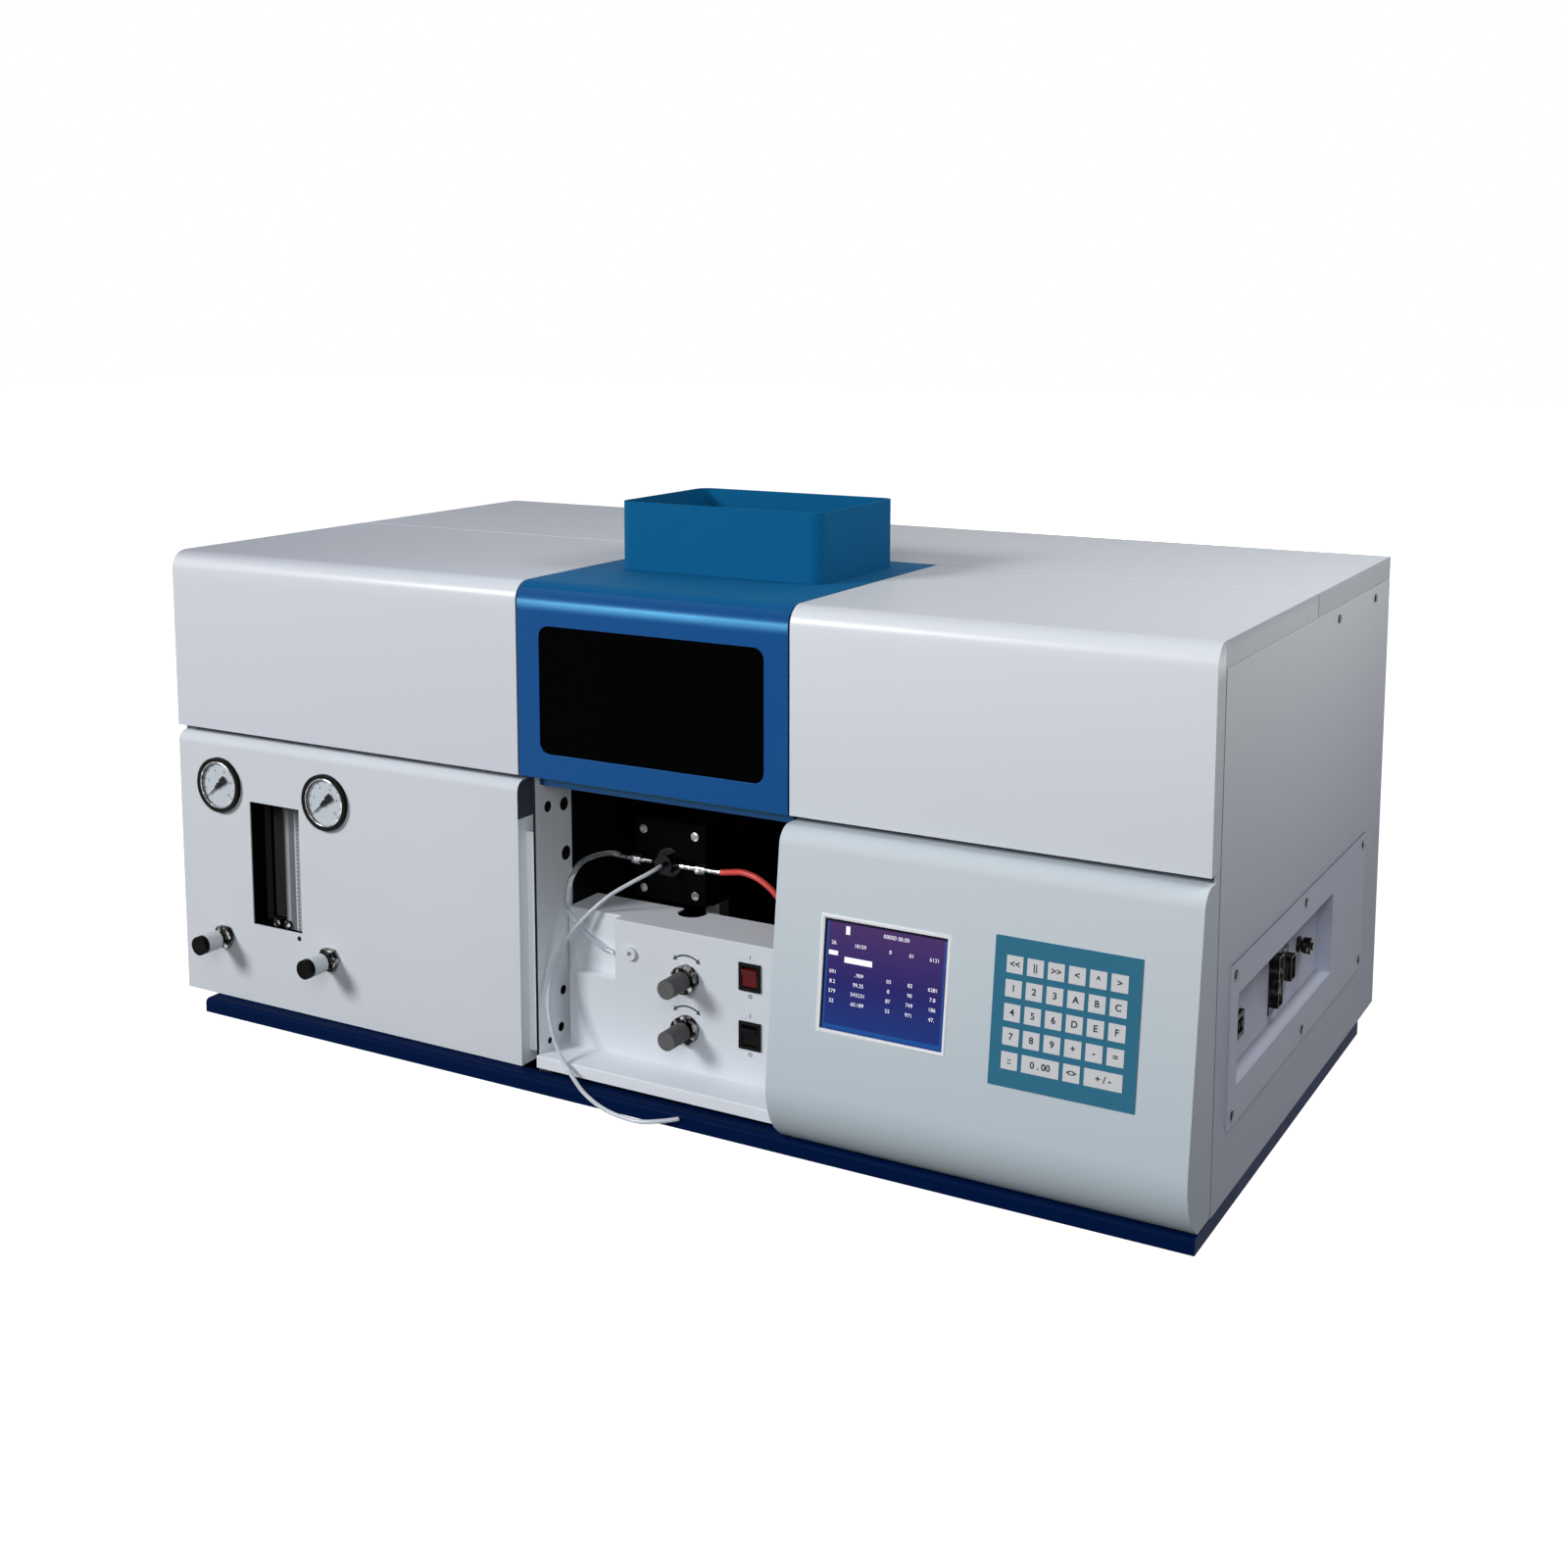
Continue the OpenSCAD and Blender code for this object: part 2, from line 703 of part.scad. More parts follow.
module back_panel() color(shell_white) placed() {
    slots = 9;
    slot_h = 5;
    difference() {
        union() {
            block([sheet, body_d - sheet, base_h], [body_w - sheet, body_d, body_h - sheet]);
            block([panel_foot + sheet, base_back - base_wall, base_h],
                [body_w - panel_foot - sheet, body_d, base_h + sheet]);
        }
        for (x = gas_columns) rod_y(x, valve_z, inlet_d, body_d - 2 * sheet, body_d + eps);
        for (x = [chamber_x, mono_x + mono_w / 2], i = [0:slots - 1])
            translate([x, body_d - 2 * sheet, axis_z - 3 * i * slot_h]) cube([mono_w / 2, 3 * sheet, slot_h]);
    }
}

module rear_top_deck() color(shell_white) placed() {
    foot_back = 16;
    block([0, seam_y, body_h - sheet], [body_w, body_d, body_h]);
    for (x = [0, body_w - sheet]) block([x, seam_y, body_h - flange], [x + sheet, body_d, body_h]);
    for (x = lug_x) along_x(x, lug_t) difference() {
        translate([hinge_y - eye_d / 2, hinge_z - eye_d / 2])
            square([eye_d + foot_back, body_h - sheet + overlap - hinge_z + eye_d / 2]);
        translate([hinge_y, hinge_z]) circle(d = rod_d + 2 * fit);
    }
}

module hinge_rod() color(chrome) placed() rod_x(hinge_y, hinge_z, rod_d, arm_w, body_w - arm_w);

module left_lid() color(shell_white) placed() {
    along_x(0, left_lid_w) cover_outline();
    along_x(0, sheet) lap_outline();
    for (x = left_arms) hinge_arm(x);
}

module right_lid() color(shell_white) placed() {
    along_x(right_lid_x, right_lid_w) cover_outline();
    along_x(body_w - sheet, sheet) lap_outline();
    for (x = right_arms) hinge_arm(x);
}

module hood() color(hood_blue) placed() {
    difference() {
        along_x(hood_x, hood_w) cover_outline();
        along_y(-eps, sheet + 2 * eps) translate([hood_x + window_margin, lid_z + window_up])
            round_rect(window_w, window_h, window_r);
        translate([hood_x + chimney_margin + sheet, chimney_y + sheet, body_h - 2 * sheet])
            linear_extrude(3 * sheet)
            round_rect(chimney_w - 2 * sheet, chimney_d - 2 * sheet, chimney_r - sheet);
    }
    block([chamber_x + slip, lid_fold - sheet, lid_z - rail_drop],
        [chamber_x1 - slip, lid_fold, lid_z + sheet]);
    for (x = hood_arms) hinge_arm(x);
}

module hood_window() color("#0c0d10") placed() along_y(sheet, glass)
    translate([hood_x + window_margin - glass_lap, lid_z + window_up - glass_lap])
    round_rect(window_w + 2 * glass_lap, window_h + 2 * glass_lap, window_r);

module chimney() color(hood_blue) placed() translate([hood_x + chimney_margin, chimney_y, body_h])
    linear_extrude(chimney_h) difference() {
        round_rect(chimney_w, chimney_d, chimney_r);
        translate([sheet, sheet])
            round_rect(chimney_w - 2 * sheet, chimney_d - 2 * sheet, chimney_r - sheet);
    }

module left_front_panel() color(shell_white) placed() {
    edge_r = 10;
    return_d = 30;
    difference() {
        union() {
            along_x(0, gas_panel_w) difference() {
                front_round(0, lap, panel_z, panel_top, edge_r);
                front_round(sheet, lap + sheet, panel_z + sheet, panel_top - sheet, edge_r - sheet);
            }
            along_x(0, sheet) front_round(0, lap, panel_z, panel_top, edge_r);
            groove_tab(0);
            along_x(gas_panel_w - sheet, sheet) front_round(0, return_d, panel_z, panel_top, edge_r);
        }
        for (x = gas_columns) {
            rod_y(x, gauge_z, case_d, -eps, 2 * sheet);
            rod_y(x, valve_z, nut_af - 3, -eps, 2 * sheet);
        }
        block([flow_x, -eps, flow_z], [flow_x + flow_w, 2 * sheet, flow_z + flow_h]);
    }
}

// Tab of a front panel's side lap, which closes the end of the groove under a lid
module groove_tab(x) block([x, lap / 2, panel_top - eps], [x + sheet, lap, lid_z - slip]);

// Side view of the console: lip circle and roll circle joined by their tangent
lip_z = panel_top - lip_r;
tangent_turn = acos((lip_r - roll_r) / norm([roll_y - lip_y, roll_z - lip_z]));
tangent_a = atan2(roll_z - lip_z, roll_y - lip_y) - tangent_turn;
tangent_n = [cos(tangent_a), sin(tangent_a)];
lean = 180 - (tangent_a + 360);
console_face = [lip_y, lip_z] + lip_r * tangent_n;

module console_outline(o, back) {
    difference() {
        union() {
            polygon([[lip_y, lip_z], [lip_y, lip_z] + (lip_r - o) * tangent_n,
                [roll_y, roll_z] + (roll_r - o) * tangent_n, [roll_y, roll_z]]);
            polygon([[lip_y, lip_z], [roll_y, roll_z], [back + o, roll_z], [back + o, lip_z]]);
            translate([lip_y, lip_z]) circle(lip_r - o, $fn = 64);
            translate([lip_y, lip_z]) square([back + o - lip_y, lip_r - o]);
            translate([roll_y, roll_z]) circle(roll_r - o, $fn = 64);
        }
        translate([-far, -far]) square([2 * far, far + panel_z + o]);
        translate([back + (o > 0 ? sheet : 0), -far]) square(2 * far);
    }
}

// Puts a piece on the leaning face of the console; local y points inwards
module on_console(x, z) {
    y = console_face[0] - (console_face[1] - z) * tan(lean);
    translate([x, y, z]) rotate([-lean, 0, 0]) children();
}

module right_front_panel() color(shell_white) placed() difference() {
    union() {
        along_x(chamber_x1, body_w - chamber_x1) difference() {
            console_outline(0, lap);
            console_outline(sheet, lap);
        }
        along_x(chamber_x1, sheet) console_outline(0, lap);
        along_x(body_w - sheet, sheet) console_outline(0, lap);
        groove_tab(body_w - sheet);
    }
    on_console(screen_x, screen_z) translate([0, -eps, -screen_h / 2])
        cube([screen_w, sheet + 3 * eps, screen_h]);
}

module display() color("#27357a") placed() on_console(screen_x, screen_z)
    translate([-display_rim, sheet, -screen_h / 2 - display_rim])
    cube([screen_w + 2 * display_rim, display_d, screen_h + 2 * display_rim]);

// Membrane keypad: four rows of six keys, and a last row with two wide keys
module keypad() color("#2f7390") placed() on_console(keypad_x, keypad_z) {
    columns = 6;
    rows = 5;
    key_x = (keypad_w - (columns - 1) * key_pitch - key_s) / 2;
    key_z = (keypad_h - (rows - 1) * key_rows - key_s) / 2 - keypad_h / 2;
    wide = key_pitch + key_s;
    translate([0, -keypad_t, -keypad_h / 2]) cube([keypad_w, keypad_t, keypad_h]);
    for (r = [1:rows - 1], c = [0:columns - 1])
        translate([key_x + c * key_pitch, -keypad_t - key_h, key_z + r * key_rows])
            cube([key_s, key_h + overlap, key_s]);
    for (k = [[0, key_s], [1, wide], [3, key_s], [4, wide]])
        translate([key_x + k[0] * key_pitch, -keypad_t - key_h, key_z]) cube([k[1], key_h + overlap, key_s]);
}

module chamber_left_wall() color(shell_white) placed() difference() {
    union() {
        block([chamber_x - wall, jamb_y - wall_lead, base_floor], [chamber_x, chamber_d, wall_top]);
        block([gas_panel_w, jamb_y, floor_z - sheet], [chamber_x, jamb_y + sheet, gauge_z]);
    }
    block([chamber_x - 2 * wall, 0, lid_z - slip], [chamber_x + wall, lid_fold + slip, far]);
    rod_x(burner_y, axis_z, light_d, chamber_x - 2 * wall, chamber_x + wall);
    for (p = wall_holes) rod_x(p[0], p[1], wall_hole, chamber_x - 2 * wall, chamber_x + wall);
}

module chamber_right_wall() color(soot_black) placed() difference() {
    block([chamber_x1, lap, base_floor], [chamber_x1 + wall, chamber_d, wall_top]);
    rod_x(burner_y, axis_z, light_d, chamber_x1 - wall, chamber_x1 + 2 * wall);
}

module chamber_back_wall() color(soot_black) placed()
    block([chamber_x - wall, chamber_d, base_floor], [chamber_x1 + wall, chamber_d + wall, back_top]);

module chamber_floor() color(shell_white) placed() {
    block([chamber_x, 0, floor_z - sheet], [chamber_x1, chamber_d, floor_z]);
    block([chamber_x, 0, floor_z - sill_h], [chamber_x1, sheet, floor_z]);
}

// Front part of the control box: tall on the right and low on the left
module box_outline(o) polygon([[chamber_x + box_gap + o, floor_z - o * far],
    [chamber_x1 - o, floor_z - o * far], [chamber_x1 - o, box_top - o], [box_left + o, box_top - o],
    [box_left + o, ledge_top - o], [chamber_x + box_gap + o, ledge_top - o]]);

module control_box() color(shell_white) placed() difference() {
    union() {
        along_y(box_y, box_step + eps) box_outline(0);
        block([chamber_x + wall, box_y + box_step, floor_z], [chamber_x1, box_back, box_top]);
        rod_y(box_left + grommet_in, grommet_z, grommet_d, box_y - 2 * sheet, box_y + eps);
    }
    along_y(box_y + sheet, box_step + eps) box_outline(sheet);
    block([chamber_x + wall + sheet, box_y + box_step + sheet, 0],
        [chamber_x1 - sheet, far, box_top - sheet]);
    rod_y(box_left + grommet_in, grommet_z, grommet_d / 3, box_y - 3 * sheet, box_y + 2 * sheet);
    for (z = [height_z, angle_z]) rod_y(knob_x, z, bush_d, box_y - eps, box_y + 2 * sheet);
    for (z = [red_z, black_z]) switch_body(z, box_y - eps, box_y + 2 * sheet);
    translate([notch_x, box_back - notch_d + notch_w / 2, box_top - 2 * sheet]) {
        cylinder(d = notch_w, h = 3 * sheet);
        translate([-notch_w / 2, 0, 0]) cube([notch_w, notch_d, 3 * sheet]);
    }
    rod_x(air_end[1], air_end[2], air_d + 2, box_left - eps, box_left + 2 * sheet);
    rod_z(fuel_end[0], fuel_end[1], fuel_d + 2, box_top - 2 * sheet, box_top + eps);
}

// Body of a rocker switch behind the front of the box
module switch_body(z, y0, y1) block([switch_x - switch_w / 2 + sheet, y0, z - switch_h / 2 + sheet],
    [switch_x + switch_w / 2 - sheet, y1, z + switch_h / 2 - sheet]);

pivot_y = box_y + 4;
pivot_d = 3;
rocker_w = switch_w - 2 * switch_wall - slip;
rocker_h = switch_h - 2 * switch_wall - 3;

module switch_frames() color(soot_black) placed() for (z = [red_z, black_z]) difference() {
    union() {
        block([switch_x - switch_w / 2, box_y - switch_t, z - switch_h / 2],
            [switch_x + switch_w / 2, box_y, z + switch_h / 2]);
        switch_body(z, box_y - eps, box_y + switch_d);
    }
    block([switch_x - switch_w / 2 + switch_wall, box_y - 2 * switch_t, z - switch_h / 2 + switch_wall],
        [switch_x + switch_w / 2 - switch_wall, box_y + switch_d - switch_wall,
        z + switch_h / 2 - switch_wall]);
    rod_x(pivot_y, z, pivot_d + 2 * fit, switch_x - switch_w, switch_x + switch_w);
}

module rocker(z) {
    nose = 6.5;
    dip = 5.2;
    tail = 5;
    translate([0, pivot_y, z]) rotate([rocker_tilt, 0, 0]) {
        along_x(switch_x - rocker_w / 2, rocker_w) polygon([[-nose, rocker_h / 2], [-dip, 0],
            [-nose, -rocker_h / 2], [tail / 2, -rocker_h / 2 + 1], [tail, 0], [tail / 2, rocker_h / 2 - 1]]);
        rod_x(0, 0, pivot_d, switch_x - switch_w / 2 + sheet + slip, switch_x + switch_w / 2 - sheet - slip);
    }
}

module red_rocker() color("#a03030") placed() rocker(red_z);
module black_rocker() color("#202022") placed() rocker(black_z);

module knob_collars() color(chrome) placed() for (z = [height_z, angle_z]) difference() {
    union() {
        rod_y(knob_x, z, collar_d, box_y - collar_t, box_y);
        rod_y(knob_x, z, bush_d, box_y - eps, box_y + collar_t);
    }
    rod_y(knob_x, z, shaft_d + 2 * fit, box_y - 2 * collar_t, box_y + 2 * collar_t);
}

// Knob with a fluted grip in front of its collar, and its shaft
module burner_knob(z, shaft_back) {
    flutes = 18;
    flute_d = 1.6;
    flute_out = 0.4;
    flute_end = 3;
    front = box_y - collar_t - slip - knob_l;
    difference() {
        rod_y(knob_x, z, knob_d, front, front + knob_l);
        for (i = [0:flutes - 1]) rotate_about_y(knob_x, z, i * 360 / flutes)
            rod_y(knob_d / 2 + flute_out, 0, flute_d, front - eps, front + knob_l - flute_end);
    }
    rod_y(knob_x, z, shaft_d, front + knob_l - eps, shaft_back);
}

module rotate_about_y(x, z, a) translate([x, 0, z]) rotate([0, a, 0]) children();

// Gear wheel with straight-sided teeth, thinned for backlash; a tooth points along -x
module pinion_outline() {
    pitch_r = gear_m * gear_n / 2;
    root_r = pitch_r - 1.25 * gear_m;
    tip_r = pitch_r + 0.8 * gear_m;
    circle(root_r + eps);
    for (i = [0:gear_n - 1]) rotate(180 + i * 360 / gear_n)
        polygon([[root_r - 1, -0.85 * gear_m], [pitch_r, -0.6 * gear_m], [tip_r, -0.28 * gear_m],
            [tip_r, 0.28 * gear_m], [pitch_r, 0.6 * gear_m], [root_r - 1, 0.85 * gear_m]]);
}

module height_knob() color(dark_grey) placed() {
    pinion_l = post_d - 4;
    burner_knob(height_z, post_y + post_d / 2);
    translate([knob_x, 0, height_z]) along_y(post_y - pinion_l / 2, pinion_l) pinion_outline();
}

module angle_knob() color(dark_grey) placed() {
    burner_knob(angle_z, box_back - 3 * sheet);
    rod_y(knob_x, angle_z, knob_d + shaft_d, box_back - 3 * collar_t, box_back - 2 * collar_t);
}

// Square post with a rack on its right side, in mesh with the pinion
module lift_post() color(bare_alloy) placed() {
    rack_p = PI * gear_m;
    pairs = 4;
    block([post_x0, post_y - post_d / 2, post_z], [post_x1, post_y + post_d / 2, pad_z]);
    for (i = [-pairs:pairs - 1]) translate([post_x1, 0, height_z + (i + 0.5) * rack_p])
        along_y(post_y - post_d / 2, post_d) polygon([[-eps, -0.95 * gear_m], [1.25 * gear_m, -0.6 * gear_m],
            [2.05 * gear_m, -0.28 * gear_m], [2.05 * gear_m, 0.28 * gear_m], [1.25 * gear_m, 0.6 * gear_m],
            [-eps, 0.95 * gear_m]]);
}

module lift_guide() color(bare_alloy) placed() difference() {
    block([post_x0 - guide_wall, post_y - post_d / 2 - guide_wall, floor_z],
        [post_x1 + guide_wall, post_y + post_d / 2 + guide_wall, floor_z + guide_h]);
    block([post_x0 - fit, post_y - post_d / 2 - fit, floor_z - eps],
        [post_x1 + fit, post_y + post_d / 2 + fit, floor_z + guide_h + eps]);
}

module spray_chamber() color(soot_black) placed() difference() {
    union() {
        rod_y(burner_x, mist_z, mist_d, cap_front + eps, mist_back);
        block([burner_x - cap_s / 2, cap_front, mist_z - cap_s / 2],
            [burner_x + cap_s / 2, cap_front + cap_t, mist_z + cap_s / 2]);
        rod_z(neck_x, burner_y, neck_d, mist_z, neck_top);
        rod_z(neck_x, burner_y, neck_d + 12, mist_z, neck_top - head_h);
        block([post_x0 - 2 * guide_wall, post_y - post_d, pad_z], [post_x1, post_y + post_d, mist_z]);
        rod_z(burner_x, mist_back - neck_d / 2, neck_d / 2, pad_z - neck_d / 2, mist_z);
    }
    rod_y(burner_x, mist_z, neb_d, cap_front - eps, cap_front + cap_t);
}

module nebulizer() color(chrome) placed() {
    barb_nut = neb_l - 1;
    nut_l = 10;
    nut_in = 14;
    air_nut_x = burner_x - air_reach + nut_in;
    fuel_nut_x = burner_x + fuel_reach - nut_in - nut_l;
    screw_h = cap_gap - slip;
    collar_l = 2;
    collar_wide = 8;
    rod_y(burner_x, mist_z, neb_d, neb_front, cap_front + cap_t);
    rod_y(burner_x, mist_z, neb_d + collar_wide, cap_front - collar_l, cap_front);
    rod_y(burner_x, mist_z, capillary_d + collar_l, capillary_route[0][1], neb_front + eps);
    difference() {
        union() {
            rod_x(barb_y, mist_z, air_d, burner_x - air_reach, burner_x);
            rod_x(barb_y, mist_z, barb_nut, air_nut_x, air_nut_x + nut_l);
            rod_x(barb_y, mist_z, fuel_d, burner_x, burner_x + fuel_reach);
            rod_x(barb_y, mist_z, barb_nut, fuel_nut_x, fuel_nut_x + nut_l);
        }
        rod_y(burner_x, mist_z, neb_d - 2 * sheet, neb_front - sheet, far);
    }
    for (dx = [-1, 1], dz = [-1, 1])
        rod_y(burner_x + dx * cap_screws / 2, mist_z + dz * cap_screws / 2, cap_screw_d,
            cap_front - screw_h, cap_front);
}

// Burner head: a long wedge with the flame slot, on a socket that turns on the neck
module burner_head() color("#8f9296") placed() translate([neck_x, burner_y, 0]) {
    seat = neck_top - head_h + slip;
    top = neck_top + head_h;
    difference() {
        union() {
            cylinder_between(neck_d + 10, seat, neck_top + 4);
            translate([-head_l / 2, 0, 0]) along_x(0, head_l) polygon([[-head_w / 2, neck_top + 2],
                [head_w / 2, neck_top + 2], [head_w / 2, top - 10], [head_w / 5, top], [-head_w / 5, top],
                [-head_w / 2, top - 10]]);
        }
        cylinder_between(neck_d + 2 * fit, seat - eps, neck_top + slip);
        translate([-slot_l / 2, -slot_w / 2, neck_top + 6]) cube([slot_l, slot_w, head_h]);
    }
}

module cylinder_between(d, z0, z1) translate([0, 0, z0]) cylinder(d = d, h = z1 - z0);

// Pressure gauges: a case through the panel with a bezel in front of it
bezel_bore = bezel_d - 2 * bezel_wall;
spindle_back = 12;

module gauge_cases() color(soot_black) placed() for (x = gas_columns) difference() {
    union() {
        rod_y(x, gauge_z, bezel_d, -bezel_h, 0);
        rod_y(x, gauge_z, case_d, -eps, case_depth);
    }
    rod_y(x, gauge_z, bezel_bore, -2 * bezel_h, 0);
    rod_y(x, gauge_z, spindle_d + 2 * fit, -eps, spindle_back + 1);
}

module gauge_dials() color("#e8ebee") placed() for (x = gas_columns) difference() {
    rod_y(x, gauge_z, bezel_bore - slip, -dial_t, 0);
    rod_y(x, gauge_z, spindle_d + 2 * fit, -2 * dial_t, eps);
}

// Pointer at zero, turned clockwise from upright as seen from the front
module pointer(x) {
    plane = dial_t + 1.2;
    thick = 0.6;
    hub = 5;
    tail = 6;
    translate([x, 0, gauge_z]) {
        rod_y(0, 0, spindle_d, -plane - thick, spindle_back);
        rod_y(0, 0, hub, -plane - 2 * thick, -plane + thick);
        rotate([0, pointer_zero, 0]) along_y(-plane - thick, thick)
            polygon([[-1.1, -tail], [1.1, -tail], [0.9, 0], [0.25, pointer_l],
                [-0.25, pointer_l], [-0.9, 0]]);
    }
}

module air_pointer() color("black") placed() pointer(gas_columns[0]);
module fuel_pointer() color("black") placed() pointer(gas_columns[1]);

module flowmeter_recess() color(soot_black) placed() difference() {
    block([flow_x - sheet, sheet, flow_z - sheet],
        [flow_x + flow_w + sheet, sheet + flow_depth, flow_z + flow_h + sheet]);
    block([flow_x, 0, flow_z], [flow_x + flow_w, flow_depth, flow_z + flow_h]);
}

tube_x = flow_x + flow_w - 2 - tube_w / 2;
tube_y = 5 + tube_d / 2;
tube_end = 8;

module flowmeter_tube() color("#b9c4cc", 0.6) placed() difference() {
    block([tube_x - tube_w / 2, tube_y - tube_d / 2, flow_z],
        [tube_x + tube_w / 2, tube_y + tube_d / 2, flow_z + flow_h]);
    rod_z(tube_x, tube_y, tube_bore, flow_z + tube_end, flow_z + flow_h - tube_end);
}

module flow_float() color("#303236") placed()
    translate([tube_x, tube_y, flow_z + tube_end + float_d / 2 + slip / 2]) sphere(d = float_d);

// Gas fittings: valve bodies with their nuts, rear inlets and the ports of the two hoses
module gas_fittings() color(chrome) placed() {
    for (x = gas_columns) {
        difference() {
            union() {
                translate([x, 0, valve_z]) rotate([90, 0, 0])
                    cylinder(d = nut_af / cos(30), h = nut_t, $fn = 6);
                rod_y(x, valve_z, nut_af - 3, -eps, valve_back);
            }
            rod_y(x, valve_z, stem_d + 2 * fit, -2 * nut_t, valve_back - 6);
        }
        difference() {
            union() {
                rod_y(x, valve_z, inlet_d, body_d - inlet_reach, body_d + inlet_reach);
                translate([x, body_d, valve_z]) rotate([-90, 0, 0])
                    cylinder(d = 1.6 * inlet_d, h = inlet_reach / 3, $fn = 6);
            }
            rod_y(x, valve_z, inlet_d / 2, body_d, body_d + 2 * inlet_reach);
        }
    }
    rod_x(air_end[1], air_end[2], air_d, air_end[0], box_left + 3 * sheet);
    rod_x(air_end[1], air_end[2], air_d + 2, box_left, box_left + 2 * sheet);
    rod_z(fuel_end[0], fuel_end[1], fuel_d, box_top - 3 * sheet, fuel_end[2]);
    rod_z(fuel_end[0], fuel_end[1], fuel_d + 2, box_top - 2 * sheet, box_top);
}

// Knurled valve knob on its stem
module valve_knob(x) {
    knurls = 24;
    knurl_d = 1.2;
    knurl_out = 0.3;
    plain_end = 4;
    front = -nut_t - valve_gap() - valve_knob_l;
    difference() {
        rod_y(x, valve_z, valve_knob_d, front, front + valve_knob_l);
        for (i = [0:knurls - 1]) rotate_about_y(x, valve_z, i * 360 / knurls)
            rod_y(valve_knob_d / 2 + knurl_out, 0, knurl_d, front + plain_end, front + valve_knob_l + eps);
    }
    rod_y(x, valve_z, stem_d, front + valve_knob_l - eps, valve_back - 8);
}

module air_valve_knob() color("#8e989e") placed() valve_knob(gas_columns[0]);
module fuel_valve_knob() color("#8e989e") placed() valve_knob(gas_columns[1]);

// Aluminium bench with a cut-out for the burner chamber and the turret bearing
module optical_bench() color(bare_alloy) placed() {
    upright_w = 60;
    difference() {
        block([sheet, bench_y0, bench_z], [body_w - sheet, bench_y1, bench_top]);
        block([chamber_x - wall, 0, 0], [chamber_x1 + wall, chamber_d + wall, far]);
    }
    difference() {
        block([turret_x - slip - bearing_t, turret_y - upright_w / 2, bench_top - eps],
            [turret_x - slip, turret_y + upright_w / 2, axis_z + turret_shaft + bearing_t]);
        rod_x(turret_y, axis_z, turret_shaft + 2 * fit, 0, turret_x);
    }
}

// Turns one lamp place about the turret axis; the first is on the light path
module at_lamps() for (i = [0:lamp_n - 1])
    translate([0, turret_y, axis_z]) rotate([i * 360 / lamp_n, 0, 0])
    translate([0, -lamp_ring, 0]) children();

module lamp_turret() color("#3a3d42") placed() difference() {
    union() {
        rod_x(turret_y, axis_z, turret_d, turret_x, turret_x + turret_t);
        rod_x(turret_y, axis_z, turret_shaft, turret_x - bearing_t - 6, turret_x + eps);
        rod_x(turret_y, axis_z, lamp_ring - lamp_d / 2 - 4, turret_x, turret_x + lamp_l / 2);
    }
    at_lamps() rod_x(0, 0, lamp_d / 2, turret_x - eps, turret_x + turret_t + eps);
}

module lamps() color("#c8b48a", 0.7) placed() at_lamps() {
    base_l = 40;
    rod_x(0, 0, lamp_d / 2 - 1, turret_x + 1, turret_x + turret_t + eps);
    rod_x(0, 0, lamp_d, turret_x + turret_t, turret_x + turret_t + base_l);
    rod_x(0, 0, lamp_d - 4, turret_x + turret_t + base_l - eps, turret_x + turret_t + lamp_l);
}

// Lens tubes that butt against the chamber walls, on feet on the bench
module lens_tube(x0, x1) {
    foot = 16;
    lens_t = 6;
    middle = (x0 + x1) / 2;
    difference() {
        union() {
            rod_x(burner_y, axis_z, lens_d, x0, x1);
            block([middle - foot / 2, burner_y - foot, bench_top],
                [middle + foot / 2, burner_y + foot, axis_z]);
        }
        rod_x(burner_y, axis_z, light_d, x0 - eps, middle - lens_t / 2);
        rod_x(burner_y, axis_z, light_d, middle + lens_t / 2, x1 + eps);
    }
}

module lens_tubes() color("#2c2e31") placed() {
    lens_tube(chamber_x - wall - lens_l, chamber_x - wall);
    lens_tube(chamber_x1 + wall, mono_x);
}

grating_at = [mono_x + 0.7 * mono_w, mono_y + 0.62 * mono_d];
boss_h = 10;

module monochromator() color("#3c3f44") placed() {
    top = bench_top + mono_h;
    difference() {
        block([mono_x, mono_y, bench_top], [mono_x + mono_w, mono_y + mono_d, top]);
        block([mono_x + mono_wall, mono_y + mono_wall, bench_top + mono_wall],
            [mono_x + mono_w - mono_wall, mono_y + mono_d - mono_wall, top - mono_wall]);
        rod_x(burner_y, axis_z, light_d / 2, mono_x - eps, mono_x + 2 * mono_wall);
        rod_y(exit_x, axis_z, light_d / 2, mono_y - eps, mono_y + 2 * mono_wall);
    }
    difference() {
        rod_z(grating_at[0], grating_at[1], 3 * grating_d, bench_top + mono_wall - eps,
            bench_top + mono_wall + boss_h);
        rod_z(grating_at[0], grating_at[1], grating_d + 2 * fit, bench_top + mono_wall + 1, far);
    }
}

module grating() color("#b9bec9") placed() translate([grating_at[0], grating_at[1], bench_top + mono_wall]) {
    cylinder_between(grating_d, 1.3, boss_h + 1);
    translate([-grating_s / 2, -grating_d / 2, boss_h + slip]) cube([grating_s, 2 * grating_d, grating_s]);
    cylinder_between(2 * grating_d, boss_h + slip, boss_h + 3);
}

// Light detector housing in front of the exit slit
module photomultiplier() color("#2c2e31") placed() difference() {
    block([exit_x - detector_w / 2, mono_y - detector_d, axis_z - detector_h / 2],
        [exit_x + detector_w / 2, mono_y, axis_z + detector_h / 2]);
    rod_y(exit_x, axis_z, light_d / 2, mono_y - detector_d / 2, mono_y + eps);
}

